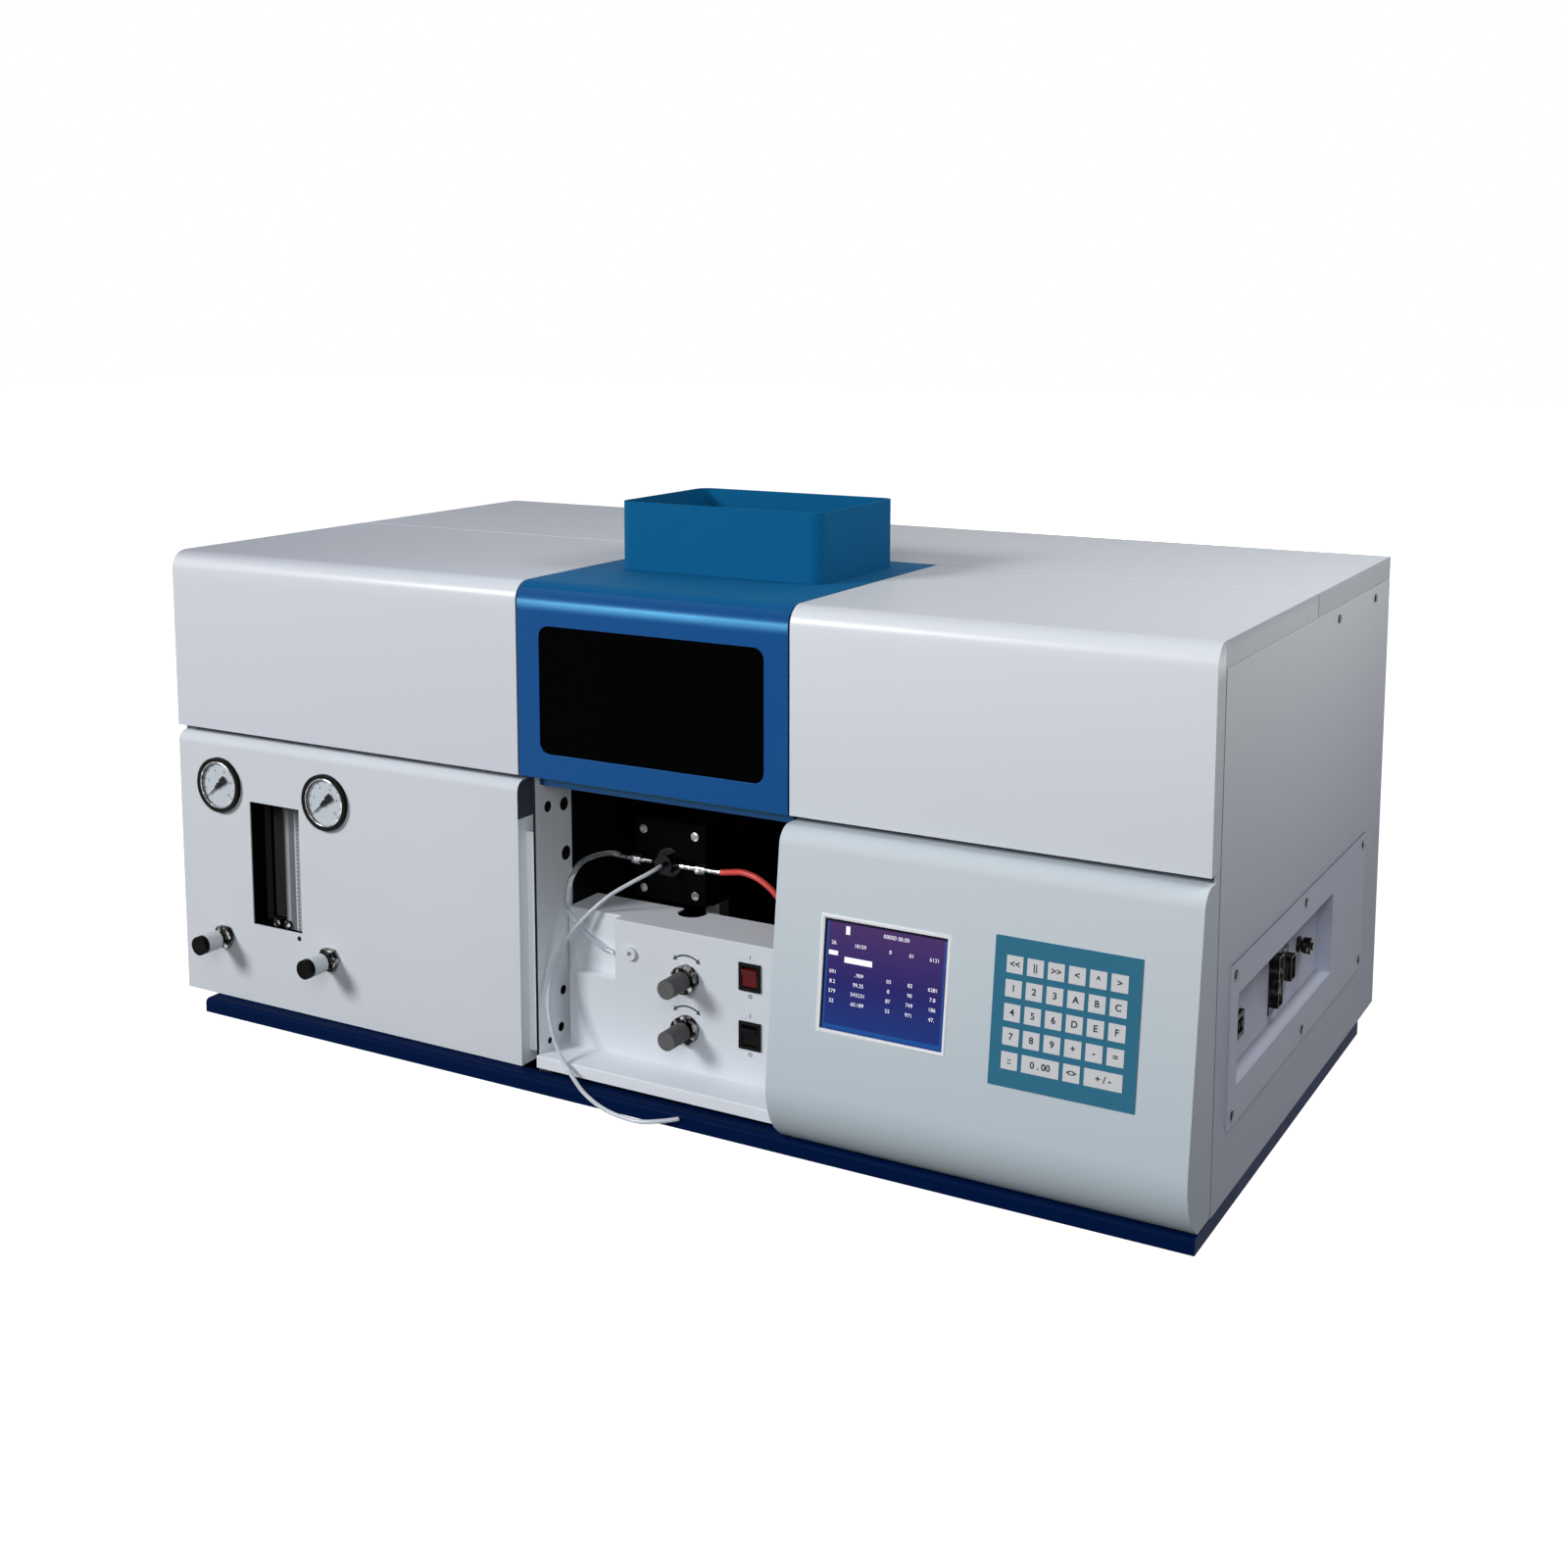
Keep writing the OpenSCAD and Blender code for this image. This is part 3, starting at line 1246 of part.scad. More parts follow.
// Circuit board on stand-offs, with its larger components
module main_board() color("#2d5b3a") placed() {
    chips = 5;
    x0 = chamber_x1 + wall + board_gap;
    length = body_w - panel_foot - board_in - x0;
    z0 = base_floor + standoff_h;
    pitch = length / chips;
    block([x0, board_y, z0], [x0 + length, board_y + board_d, z0 + board_t]);
    for (x = [x0 + standoff_h, x0 + length - standoff_h],
        y = [board_y + standoff_h, board_y + board_d - standoff_h])
        rod_z(x, y, standoff_h, base_floor, z0 + eps);
    for (i = [0:chips - 1]) translate([x0 + (i + 0.25) * pitch, board_y + board_d / 4, z0 + eps])
        cube([pitch / 2, board_d / 3, board_t + chip_h * (1 + i % 3)]);
}

// Power supply with a row of cooling fins on its top
module power_supply() color(bare_alloy) placed() {
    fins = 10;
    x0 = panel_foot + supply_gap;
    pitch = supply_w / fins;
    translate([x0, supply_y, base_floor]) cube([supply_w, supply_d, supply_h]);
    for (i = [0:fins - 1])
        translate([x0 + (i + 0.4) * pitch, supply_y + pitch / 2, base_floor + supply_h - eps])
        cube([pitch / 5, supply_d - pitch, fin_h]);
}

// Socket plate on the right side, with a recess for the sockets
module socket_plate() color(shell_white) placed() difference() {
    union() {
        block([body_w, plate_y, plate_z], [body_w + sheet, plate_y + plate_l, plate_z1]);
        block([recess_floor - sheet, recess_y - sheet, recess_z - sheet],
            [body_w + eps, recess_y + recess_l + sheet, recess_z + recess_h + sheet]);
    }
    block([recess_floor, recess_y, recess_z], [body_w + 2 * sheet, recess_y + recess_l, recess_z + recess_h]);
    for (p = plate_screws) rod_x(p[0], p[1], screw_d, body_w - eps, body_w + 2 * sheet);
}

socket_z = recess_z + recess_h / 2;

module mains_inlet() color(soot_black) placed() {
    proud = 4;
    rim = 4;
    pin = [2, 5];
    y0 = recess_y + mains_in;
    y_mid = y0 + mains_w / 2;
    z_mid = socket_z - recess_h / 16;
    difference() {
        block([recess_floor, y0, z_mid - mains_h / 2],
            [recess_floor + proud, y0 + mains_w, z_mid + mains_h / 2]);
        block([recess_floor + 1, y0 + rim, z_mid - mains_h / 2 + rim],
            [recess_floor + 2 * proud, y0 + mains_w - rim, z_mid + mains_h / 2 - rim]);
    }
    for (step = [-1, 0, 1])
        translate([recess_floor + eps, y_mid + step * mains_w / 4 - pin[0] / 2, z_mid - pin[1] / 2])
        cube([proud - eps, pin[0], pin[1]]);
}

// Two upright data connectors with their metal shells
module data_sockets() color("#8b8f94") placed()
    for (s = [[data_end + data_pitch, data_large], [data_end, data_small]]) {
        y0 = recess_y + recess_l - s[0];
        shell = 8;
        shell_wall = 1;
        side_in = 2;
        end_in = 6.5;
        block([recess_floor, y0, socket_z - s[1] / 2], [recess_floor + 1, y0 + data_w, socket_z + s[1] / 2]);
        difference() {
            block([recess_floor, y0 + side_in, socket_z - s[1] / 2 + end_in],
                [recess_floor + shell, y0 + data_w - side_in, socket_z + s[1] / 2 - end_in]);
            block([recess_floor + 3, y0 + side_in + shell_wall, socket_z - s[1] / 2 + end_in + shell_wall],
                [recess_floor + 2 * shell, y0 + data_w - side_in - shell_wall,
                socket_z + s[1] / 2 - end_in - shell_wall]);
        }
    }

// Earthing post with a wing nut
module earth_terminal() color(chrome) placed() {
    y = recess_y + recess_l - earth_in;
    z = socket_z + recess_h / 12;
    wing = 14;
    wing_t = 3;
    hub = [5, 12];
    rod_x(y, z, earth_d, recess_floor, body_w + sheet);
    rod_x(y, z, 2 * earth_d, recess_floor, recess_floor + wing_t);
    rod_x(y, z, 2 * earth_d, recess_floor + hub[0], recess_floor + hub[1]);
    block([recess_floor + hub[0] + 1, y - wing, z - wing_t / 2],
        [recess_floor + hub[1] - 1, y + wing, z + wing_t / 2]);
}

module side_screws() color(chrome) placed() {
    for (p = plate_screws) {
        rod_x(p[0], p[1], screw_head_d, body_w + sheet, body_w + sheet + screw_head_h);
        rod_x(p[0], p[1], screw_d, body_w - sheet, body_w + sheet + eps);
    }
    for (p = rail_screws) {
        rod_x(p[0], p[1], screw_head_d, body_w, body_w + screw_head_h);
        rod_x(p[0], p[1], screw_d, body_w - sheet, body_w + eps);
        rod_x(p[0], p[1], screw_head_d, -screw_head_h, 0);
        rod_x(p[0], p[1], screw_d, -eps, sheet);
    }
}

// Point on a smooth curve through the route's points
function bend(p, i, t) =
    let (a = p[max(i - 1, 0)], b = p[i], c = p[i + 1], d = p[min(i + 2, len(p) - 1)])
    0.5 * (2 * b + (c - a) * t + (2 * a - 5 * b + 4 * c - d) * t * t + (3 * b - a - 3 * c + d) * t * t * t);

// Unit vector along v
function unit(v) = v / norm(v);

// Closed tube along a route: rings across the curve, joined by triangles and capped
module tube(route, d, first, last) {
    sides = 8;
    steps = 2;
    n = len(route);
    curve = concat([for (i = [0:n - 2], s = [0:steps - 1]) bend(route, i, s / steps)], [route[n - 1]]);
    m = len(curve);
    ahead = [for (i = [0:m - 1]) i == 0 ? first : i == m - 1 ? last : unit(curve[i + 1] - curve[i - 1])];
    side = [for (i = [0:m - 1]) unit(cross(ahead[i], [0.3, 0.8, 0.5]))];
    rings = [for (i = [0:m - 1], k = [0:sides - 1]) let (a = k * 360 / sides, u = cross(ahead[i], side[i]))
        curve[i] + d / 2 * (cos(a) * side[i] + sin(a) * u)];
    walls = [for (i = [0:m - 2], k = [0:sides - 1]) let (a = i * sides + k, b = i * sides + (k + 1) % sides)
        each [[a, a + sides, b], [b, a + sides, b + sides]]];
    ends = [for (k = [1:sides - 2]) each [[0, k, k + 1],
        [(m - 1) * sides, (m - 1) * sides + k + 1, (m - 1) * sides + k]]];
    polyhedron(points = rings, faces = concat(walls, ends));
}

module air_hose() color("#c4ccd4", 0.7) placed() tube(air_route, air_d, [-1, 0, 0], [1, 0, 0]);
module fuel_hose() color("#b83a3a") placed() tube(fuel_route, fuel_d, [1, 0, 0], [0, 0, -1]);
module sample_capillary() color("#c9d2da", 0.7) placed()
    tube(capillary_route, capillary_d, [0, -1, 0], unit([4, 1, 1]));

base_tray();
left_side_panel();
right_side_panel();
back_panel();
rear_top_deck();
left_front_panel();
right_front_panel();
chamber_left_wall();
chamber_right_wall();
chamber_back_wall();
chamber_floor();
control_box();
optical_bench();
hinge_rod();
socket_plate();
mains_inlet();
data_sockets();
earth_terminal();
side_screws();
gas_fittings();
gauge_cases();
gauge_dials();
flowmeter_recess();
flowmeter_tube();
display();
keypad();
switch_frames();
knob_collars();
lens_tubes();
monochromator();
photomultiplier();
main_board();
power_supply();
lift_guide();
air_hose();
fuel_hose();
sample_capillary();
left_lid();
right_lid();
hood();
hood_window();
chimney();
air_pointer();
fuel_pointer();
flow_float();
air_valve_knob();
fuel_valve_knob();
height_knob();
angle_knob();
red_rocker();
black_rocker();
lift_post();
spray_chamber();
nebulizer();
burner_head();
lamp_turret();
lamps();
grating();
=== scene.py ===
# %% [markdown]
# # A flame spectrophotometer on the laboratory bench
#
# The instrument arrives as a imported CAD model: every panel, knob and lamp is already in its place,
# in metres. This script dresses that model. It rounds the folded edges that catch the light, adds
# the thin things that CAD leaves out, such as scales, arrows and key legends, and gives each
# surface its finish. The first cell loads the frame and makes a ruler: the sizes below are
# millimetres from the front left corner of the cabinet at bench level, as in a workshop drawing.

# %% Frame and ruler
import json
import math
import random

import bmesh
import bpy
from mathutils import Matrix, Vector


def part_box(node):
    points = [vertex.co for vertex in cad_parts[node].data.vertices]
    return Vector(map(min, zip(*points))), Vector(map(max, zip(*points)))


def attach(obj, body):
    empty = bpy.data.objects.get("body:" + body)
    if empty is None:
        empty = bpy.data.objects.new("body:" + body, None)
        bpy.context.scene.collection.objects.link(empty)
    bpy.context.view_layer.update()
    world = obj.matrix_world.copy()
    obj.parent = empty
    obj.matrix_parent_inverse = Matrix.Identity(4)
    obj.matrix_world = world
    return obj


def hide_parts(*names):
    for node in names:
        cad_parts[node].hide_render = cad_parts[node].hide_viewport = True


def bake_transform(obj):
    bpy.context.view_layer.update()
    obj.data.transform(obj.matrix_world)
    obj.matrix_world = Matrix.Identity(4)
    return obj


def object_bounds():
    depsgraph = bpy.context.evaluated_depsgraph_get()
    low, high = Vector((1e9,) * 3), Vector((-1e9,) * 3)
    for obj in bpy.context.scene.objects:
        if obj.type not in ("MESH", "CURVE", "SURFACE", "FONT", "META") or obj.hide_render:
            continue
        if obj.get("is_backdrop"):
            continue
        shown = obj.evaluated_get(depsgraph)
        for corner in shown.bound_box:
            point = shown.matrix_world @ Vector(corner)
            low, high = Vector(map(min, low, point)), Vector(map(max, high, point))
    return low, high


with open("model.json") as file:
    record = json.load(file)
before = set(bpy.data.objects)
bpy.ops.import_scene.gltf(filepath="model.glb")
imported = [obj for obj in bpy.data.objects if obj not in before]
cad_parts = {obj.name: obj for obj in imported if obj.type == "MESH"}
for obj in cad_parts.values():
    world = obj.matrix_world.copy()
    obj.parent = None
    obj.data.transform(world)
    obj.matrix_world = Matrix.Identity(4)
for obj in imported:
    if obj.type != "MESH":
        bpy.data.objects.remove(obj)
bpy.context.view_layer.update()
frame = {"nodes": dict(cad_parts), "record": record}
scene = bpy.context.scene
MM = 0.001
panel_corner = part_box("left_front_panel")[0]
corner = Vector((panel_corner.x, panel_corner.y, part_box("base_tray")[0].z))


def spot(x, y, z):
    """A place on the workshop drawing, in millimetres, as a point in the frame."""
    return corner + Vector((x, y, z)) * MM


def drawn_box(node):
    """The lowest and the highest corner of a CAD node, in millimetres on the drawing."""
    return [(end - corner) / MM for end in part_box(node)]


# %% [markdown]
# ## Camera
#
# The picture to match was taken from the right of the instrument, a little above it. The camera's
# place, its focal length and the point that it faces were fitted to the corners of the cabinet.
# The lens shift stands for the crop of the picture, so the upright edges stay as they are there.

# %% Camera
PICTURE = 1600
FOCAL = 1989.4
FACING = (785.0, 568.5)
SENSOR = 36.0
TURN = math.radians(29.79)
RISE = math.radians(7.59)
CAMERA_PLACE = (1413.4, -1319.3, 686.0)
FAR_END = 50
camera_data = bpy.data.cameras.new("camera")
camera_data.sensor_width = SENSOR
camera_data.lens = SENSOR * FOCAL / PICTURE
camera_data.shift_x = 0.5 - FACING[0] / PICTURE
camera_data.shift_y = FACING[1] / PICTURE - 0.5
camera_data.clip_end = FAR_END
camera = bpy.data.objects.new("camera", camera_data)
scene.collection.objects.link(camera)
backward = Vector((math.sin(TURN) * math.cos(RISE), -math.cos(TURN) * math.cos(RISE), math.sin(RISE)))
rightward = Vector((math.cos(TURN), math.sin(TURN), 0))
axes = Matrix((rightward, backward.cross(rightward), backward)).transposed()
camera.matrix_world = Matrix.Translation(spot(*CAMERA_PLACE)) @ axes.to_4x4()
scene.camera = camera
print("lens", round(camera_data.lens, 2), "mm")

# %% [markdown]
# ## A small language for finishes
#
# A material in Blender is a graph of nodes, and a graph built node by node is hard to read. Here a
# `Wire` stands for one number that changes over a surface. Sums and products of wires are written
# as sums and products, and each adds its Math node. A `Graph` has one method for any other node, and
# a `Finish` is the graph of one material: `feed` joins a wire or a colour to its main shader.

# %% Wires
def joined(operation):
    """A method of a wire that joins it to another value with a Math node."""
    return lambda wire, other: wire.apply(operation, wire, other)


class Wire:
    """A number that changes over the surface: one output socket of a graph."""

    def __init__(self, graph, socket):
        self.graph = graph
        self.socket = socket

    def apply(self, operation, *values):
        """What a Math node makes of some values."""
        node = self.graph.add("ShaderNodeMath", dict(enumerate(values)), operation=operation)
        return Wire(self.graph, node.outputs[0])

    __add__ = joined("ADD")
    __sub__ = joined("SUBTRACT")
    __mul__ = joined("MULTIPLY")
    __truediv__ = joined("DIVIDE")
    __mod__ = joined("FLOORED_MODULO")
    __gt__ = joined("GREATER_THAN")
    __lt__ = joined("LESS_THAN")
    __or__ = joined("MAXIMUM")

    def __rsub__(self, other):
        return self.apply("SUBTRACT", other, self)

    def __abs__(self):
        return self.apply("ABSOLUTE", self)

    def near(self, centre, reach):
        """One where the value lies within reach of centre, else zero."""
        return self.apply("COMPARE", self, centre, reach)

    def stripes(self, step, reach):
        """One where the value lies within reach of the middle of a step, else zero."""
        return (self % step).near(step / 2, reach)

    def distance(self, other):
        """How far a point with these two parts lies from the origin."""
        return self.apply("SQRT", self * self + other * other)

    def bearing(self, other):
        """The angle of such a point, in degrees from the second part's axis."""
        return self.apply("ARCTAN2", self, other) * math.degrees(1)


print("a wire adds its own Math nodes")

# %% Graphs and finishes
# Where the Mix node keeps its two colours and their blend.
MIX_LOW = 6
MIX_HIGH = 7
MIX_RESULT = 2


class Graph:
    """A node tree with one method that makes any node."""

    def __init__(self, tree):
        self.tree = tree

    def add(self, kind, sockets=None, **settings):
        """A node of a type, with its settings first, then the values or links of its sockets."""
        node = self.tree.nodes.new(kind)
        for name, value in settings.items():
            setattr(node, name, value)
        for name, value in (sockets or {}).items():
            source = value.socket if isinstance(value, Wire) else value
            if isinstance(source, bpy.types.NodeSocket):
                self.tree.links.new(source, node.inputs[name])
            else:
                node.inputs[name].default_value = source
        return node

    def unlit(self):
        """One for rays that should see a white studio: from the camera, in a mirror or through glass."""
        rays = self.add("ShaderNodeLightPath").outputs
        seen = Wire(self, rays["Is Camera Ray"])
        mirrored = Wire(self, rays["Is Glossy Ray"])
        return seen | mirrored | Wire(self, rays["Is Transmission Ray"])


class Finish(Graph):
    """One material, with its main shader and the graph behind it."""

    def __init__(self, name, colour, roughness, **constants):
        self.material = bpy.data.materials.new(name)
        self.material.use_nodes = True
        super().__init__(self.material.node_tree)
        self.shader = self.tree.nodes["Principled BSDF"]
        self.colour = colour
        self.shader.inputs["Base Color"].default_value = (*colour, 1)
        self.shader.inputs["Roughness"].default_value = roughness
        for socket, value in constants.items():
            words = socket.replace("_", " ").title().replace("Ior", "IOR")
            self.shader.inputs[words].default_value = value

    def place(self):
        """The three parts of the surface point, in millimetres on the drawing."""
        point = self.add("ShaderNodeTexCoord").outputs["Object"]
        parts = self.add("ShaderNodeSeparateXYZ", {0: point}).outputs
        return [(Wire(self, part) - start) / MM for part, start in zip(parts, corner)]

    def noise(self, scale, detail=2.0):
        """Cloudy noise; scale is the number of clouds in a metre."""
        point = self.add("ShaderNodeTexCoord").outputs["Object"]
        sockets = {"Vector": point, "Scale": scale, "Detail": detail}
        return Wire(self, self.add("ShaderNodeTexNoise", sockets).outputs[0])

    def blend(self, mask, low, high):
        """A colour that runs from low to high as the mask goes from 0 to 1."""
        sockets = {0: mask}
        for place, colour in ((MIX_LOW, low), (MIX_HIGH, high)):
            linked = isinstance(colour, bpy.types.NodeSocket)
            sockets[place] = colour if linked else (*colour, 1)
        return self.add("ShaderNodeMix", sockets, data_type="RGBA").outputs[MIX_RESULT]

    def drift(self, amount, scale):
        """The finish's own colour, a little deeper and paler in clouds."""
        deep = [c * (1 - amount) for c in self.colour]
        pale = [min(1.0, c * (1 + amount)) for c in self.colour]
        return self.blend(self.noise(scale), deep, pale)

    def feed(self, name, value):
        """Joins a wire or a colour to an input of the main shader."""
        source = value.socket if isinstance(value, Wire) else value
        self.tree.links.new(source, self.shader.inputs[name])

    def paint(self, colour, *coats):
        """Colours the surface in coats: each is a mask and the colour that it lays over the last."""
        for mask, over in coats:
            colour = self.blend(mask, colour, over)
        self.feed("Base Color", colour)

    def cloud(self, amount, scale):
        """Colours the surface with its drift, and keeps that as its tint for later masks."""
        self.tint = self.drift(amount, scale)
        self.paint(self.tint)

    def dull(self, scale, amount, least):
        """Roughness that rises in clouds from the least by an amount."""
        self.feed("Roughness", self.noise(scale) * amount + least)

    def relief(self, height, depth):
        """Bumps whose height is a wire; depth is in millimetres."""
        sockets = {"Height": height, "Distance": depth * MM, "Strength": 1.0}
        self.feed("Normal", self.add("ShaderNodeBump", sockets).outputs[0])


def pigment(red, green, blue):
    """A colour as a picture shows it, 0 to 255, as linear light."""
    steps = [v / 255 for v in (red, green, blue)]
    return [v / 12.92 if v < 0.04 else ((v + 0.055) / 1.055) ** 2.4 for v in steps]


print("a finish holds one material")

# %% [markdown]
# ## Four families of finish
#
# Almost everything here is stove enamel, moulded plastic, plated metal or bare metal. Enamel is
# smooth but no mirror: it dries with a faint orange peel, and its colour drifts a little over a
# large panel. Moulded plastic is speckled and dull, and bare metal has a grain along one axis.
# Plating shows the dark and bright corners of a room. The studio here is white all round, so the
# plating carries these patches itself, as painted reflections. Each family is one function, so its
# members look related.

# %% Enamel, plastic and metal
PANEL_CLOUDS = 7
SMEARS = 45
SMEAR = 0.1
PEEL = 420
PEEL_DEPTH = 0.02
SPECKLES = 900
SPECKLE = 0.12
PORES = 1500
PORE_DEPTH = 0.015
PATCHES = 170
PATCH_CONTRAST = 5
PATCH_START = 2.4
WIPES = 210
GRAIN_ALONG = 0.02
GRAIN_ACROSS = 1.5
GRAIN = 0.3


def enamel(name, colour, roughness, shine, drift=0.03):
    finish = Finish(name, colour, roughness, specular_ior_level=shine)
    finish.cloud(drift, PANEL_CLOUDS)
    finish.dull(SMEARS, SMEAR, roughness - SMEAR / 2)
    finish.relief(finish.noise(PEEL, 1.0), PEEL_DEPTH)
    return finish


def plastic(name, colour, roughness, shine=0.3):
    finish = Finish(name, colour, roughness, specular_ior_level=shine)
    finish.cloud(SPECKLE, SPECKLES)
    finish.relief(finish.noise(PORES, 1.0), PORE_DEPTH)
    return finish


def plated(name, dark, bright, roughness):
    finish = Finish(name, bright, roughness, metallic=1.0)
    # Painted reflections: dark and bright patches stand for the corners of a room.
    painted_reflections = finish.noise(PATCHES, 1.0) * PATCH_CONTRAST - PATCH_START
    finish.tint = finish.blend(painted_reflections, dark, bright)
    finish.paint(finish.tint)
    finish.dull(WIPES, 0.12, roughness - 0.04)
    return finish


def brushed(name, colour, roughness):
    finish = Finish(name, colour, roughness, metallic=1.0)
    x, y, z = finish.place()
    stretches = {0: x * GRAIN_ALONG, 1: y * GRAIN_ACROSS, 2: z * GRAIN_ACROSS}
    stretched = finish.add("ShaderNodeCombineXYZ", stretches).outputs[0]
    fibres = finish.add("ShaderNodeTexNoise", {"Vector": stretched, "Scale": 1.0})
    grain = Wire(finish, fibres.outputs[0])
    finish.paint([c * 0.85 for c in colour], (grain, [c * 1.1 for c in colour]))
    finish.feed("Roughness", grain * GRAIN + (roughness - GRAIN / 2))
    return finish


print("four families of finish")

# %% [markdown]
# ## Pieces from the CAD nodes
#
# Folded steel never has a knife edge, and the thin bright line along a fold is what makes it look
# like steel. The CAD mesh itself is never changed, so `softened` copies it into a piece of its own,
# joins its triangles back into whole faces and rounds the edges with a bevel. Folds between two
# broad faces get the full radius, and the cut edges of the sheet a small one. Nodes that stay as
# they are only get their finish, with `finish_node`.

# %% Softened copies
record = frame["record"]
body_of = {node: name for name, nodes in record["behaviour"]["bodies"].items() for node in nodes}
finished = set()
WELD = 0.002 * MM
LEVEL = math.radians(0.5)
BENT = math.radians(30)
SHARP = math.radians(35)
BROAD = 4 * MM


def new_piece(name, mesh, finish, body="cabinet"):
    """Links a finished bmesh into the scene as a piece that moves with a body."""
    data = bpy.data.meshes.new(name)
    mesh.to_mesh(data)
    mesh.free()
    data.shade_smooth()
    data.set_sharp_from_angle(angle=SHARP)
    data.materials.append(finish.material)
    piece = bpy.data.objects.new(name, data)
    scene.collection.objects.link(piece)
    if body:
        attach(piece, body)
    return piece


def breadth(face):
    """A face's area over its longest edge, which is small for the cut edge of a sheet."""
    return face.calc_area() / max(edge.calc_length() for edge in face.edges)


def softened(node, finish, fold, cut=0.2):
    """A copy of a CAD node with rounded edges: fold and cut are radii in millimetres."""
    mesh = bmesh.new()
    mesh.from_mesh(frame["nodes"][node].data)
    bmesh.ops.remove_doubles(mesh, verts=mesh.verts, dist=WELD)
    bmesh.ops.dissolve_limit(mesh, angle_limit=LEVEL, verts=mesh.verts, edges=mesh.edges)
    weights = mesh.edges.layers.float.new("bevel_weight_edge")
    for edge in mesh.edges:
        if len(edge.link_faces) == 2 and edge.is_convex and edge.calc_face_angle() > BENT:
            broad = min(breadth(face) for face in edge.link_faces) > BROAD
            edge[weights] = 1.0 if broad else cut / fold
    piece = new_piece(node + "_piece", mesh, finish, body_of[node])
    bevel = piece.modifiers.new("edges", "BEVEL")
    bevel.limit_method = "WEIGHT"
    bevel.width = fold * MM
    bevel.segments = 3
    flat = piece.modifiers.new("flat", "WEIGHTED_NORMAL")
    flat.keep_sharp = True
    flat.weight = 100
    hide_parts(node)
    finished.add(node)


def finish_node(finish, *nodes):
    """Gives CAD nodes that keep their shape their finish."""
    for node in nodes:
        for holder in frame["nodes"][node].material_slots:
            holder.material = finish.material
        finished.add(node)


# %% [markdown]
# Small things that CAD leaves out are built from three shapes: turned forms about an axis that runs
# from front to back, bars between two corners and flat lettering. Each helper adds to a bmesh, and
# a later line makes one piece of it.

# %% Shapes
UPRIGHT = Matrix(((1, 0, 0), (0, 0, -1), (0, 1, 0))).to_4x4()
PRINT_DEPTH = 0.02


def upright(x, y, z):
    """A frame at a place on the drawing for print that faces the front."""
    return Matrix.Translation(spot(x, y, z)) @ UPRIGHT


def join_rings(mesh, rings, closed=False):
    """The faces between rings of points; a row of rings that isn't closed has a face at each end."""
    sides = len(rings[0])
    followers = rings[1:] + rings[:1] if closed else rings[1:]
    faces = [mesh.faces.new((a[k], a[(k + 1) % sides], b[(k + 1) % sides], b[k]))
             for a, b in zip(rings, followers) for k in range(sides)]
    if not closed:
        faces += [mesh.faces.new(rings[0]), mesh.faces.new(rings[-1])]
    bmesh.ops.recalc_face_normals(mesh, faces=faces)


def add_turned(mesh, x, z, profile, closed=False, sides=48):
    """A turned form: points of radius and depth y, swung about the axis through x and z."""
    around = [2 * math.pi * k / sides for k in range(sides)]
    rings = []
    for radius, y in profile:
        circle = [spot(x + radius * math.cos(a), y, z + radius * math.sin(a)) for a in around]
        rings.append([mesh.verts.new(point) for point in circle])
    join_rings(mesh, rings, closed)


def add_bar(mesh, low, high, base=None):
    """A flat bar between two corners, on the drawing or in a frame of its own."""
    size = (Vector(high) - Vector(low)) * MM
    middle = (Vector(high) + Vector(low)) / 2 * MM
    start = base or Matrix.Translation(corner)
    stretched = start @ Matrix.Translation(middle) @ Matrix.Diagonal((*size, 1))
    bmesh.ops.create_cube(mesh, size=1, matrix=stretched)


def add_words(mesh, words, matrix, size, bold=0.0):
    """Flat lettering, centred on the origin of its frame; size and bold are in millimetres."""
    curve = bpy.data.curves.new("words", "FONT")
    curve.body = words
    curve.size = size * MM
    curve.offset = bold * MM
    curve.align_x = "CENTER"
    curve.align_y = "CENTER"
    curve.extrude = PRINT_DEPTH * MM
    holder = bpy.data.objects.new("words", curve)
    flat = bpy.data.meshes.new_from_object(holder)
    flat.transform(matrix)
    mesh.from_mesh(flat)
    bpy.data.objects.remove(holder)
    bpy.data.curves.remove(curve)
    bpy.data.meshes.remove(flat)


print("turned forms, bars and words")

# %% [markdown]
# ## Free tubes
#
# Three tubes hang in the burner compartment: a clear air hose, a red fuel hose and a thin sample
# capillary. Their routes are the ones of the CAD model. A tube is a ring swept along a smooth curve;
# each ring is carried on from the one before, so the tube never twists. They run between the fixed
# ports and the nebulizer, which goes up and down with the burner.

# %% Tube routes
AIR_ROUTE = [(453, 90, 189), (446, 88, 190.5), (438, 77, 191), (430.5, 61, 187), (426.8, 51, 176),
             (426, 46, 163), (427, 44.5, 150), (433.5, 44.5, 139.5), (445.6, 44.5, 129.5), (461, 44, 121),
             (470, 43.5, 117.5), (478, 43.5, 117)]
FUEL_ROUTE = [(558, 90, 189), (569, 89.4, 191), (581, 88, 193), (596, 86.4, 191), (609, 85.2, 185),
              (618, 84.5, 178), (624, 84, 170), (628.5, 84, 161), (630, 84, 153)]
CAPILLARY_ROUTE = [(502, 80, 189), (501, 73, 187.6), (496, 66, 184), (485, 58, 177), (467, 47, 164),
                   (446.5, 36, 142), (434, 28, 122.5), (428.6, 20, 105.5), (428.4, 12.5, 86),
                   (432, 6.5, 66), (440, 1.5, 48), (450, -2.5, 34), (461.5, -6.5, 24), (474, -13, 18),
                   (486, -18.5, 13), (503, -21.5, 6.4), (523, -24, 3), (546, -24, 2.3),
                   (566, -20.5, 5.6), (581, -16.5, 9.4)]


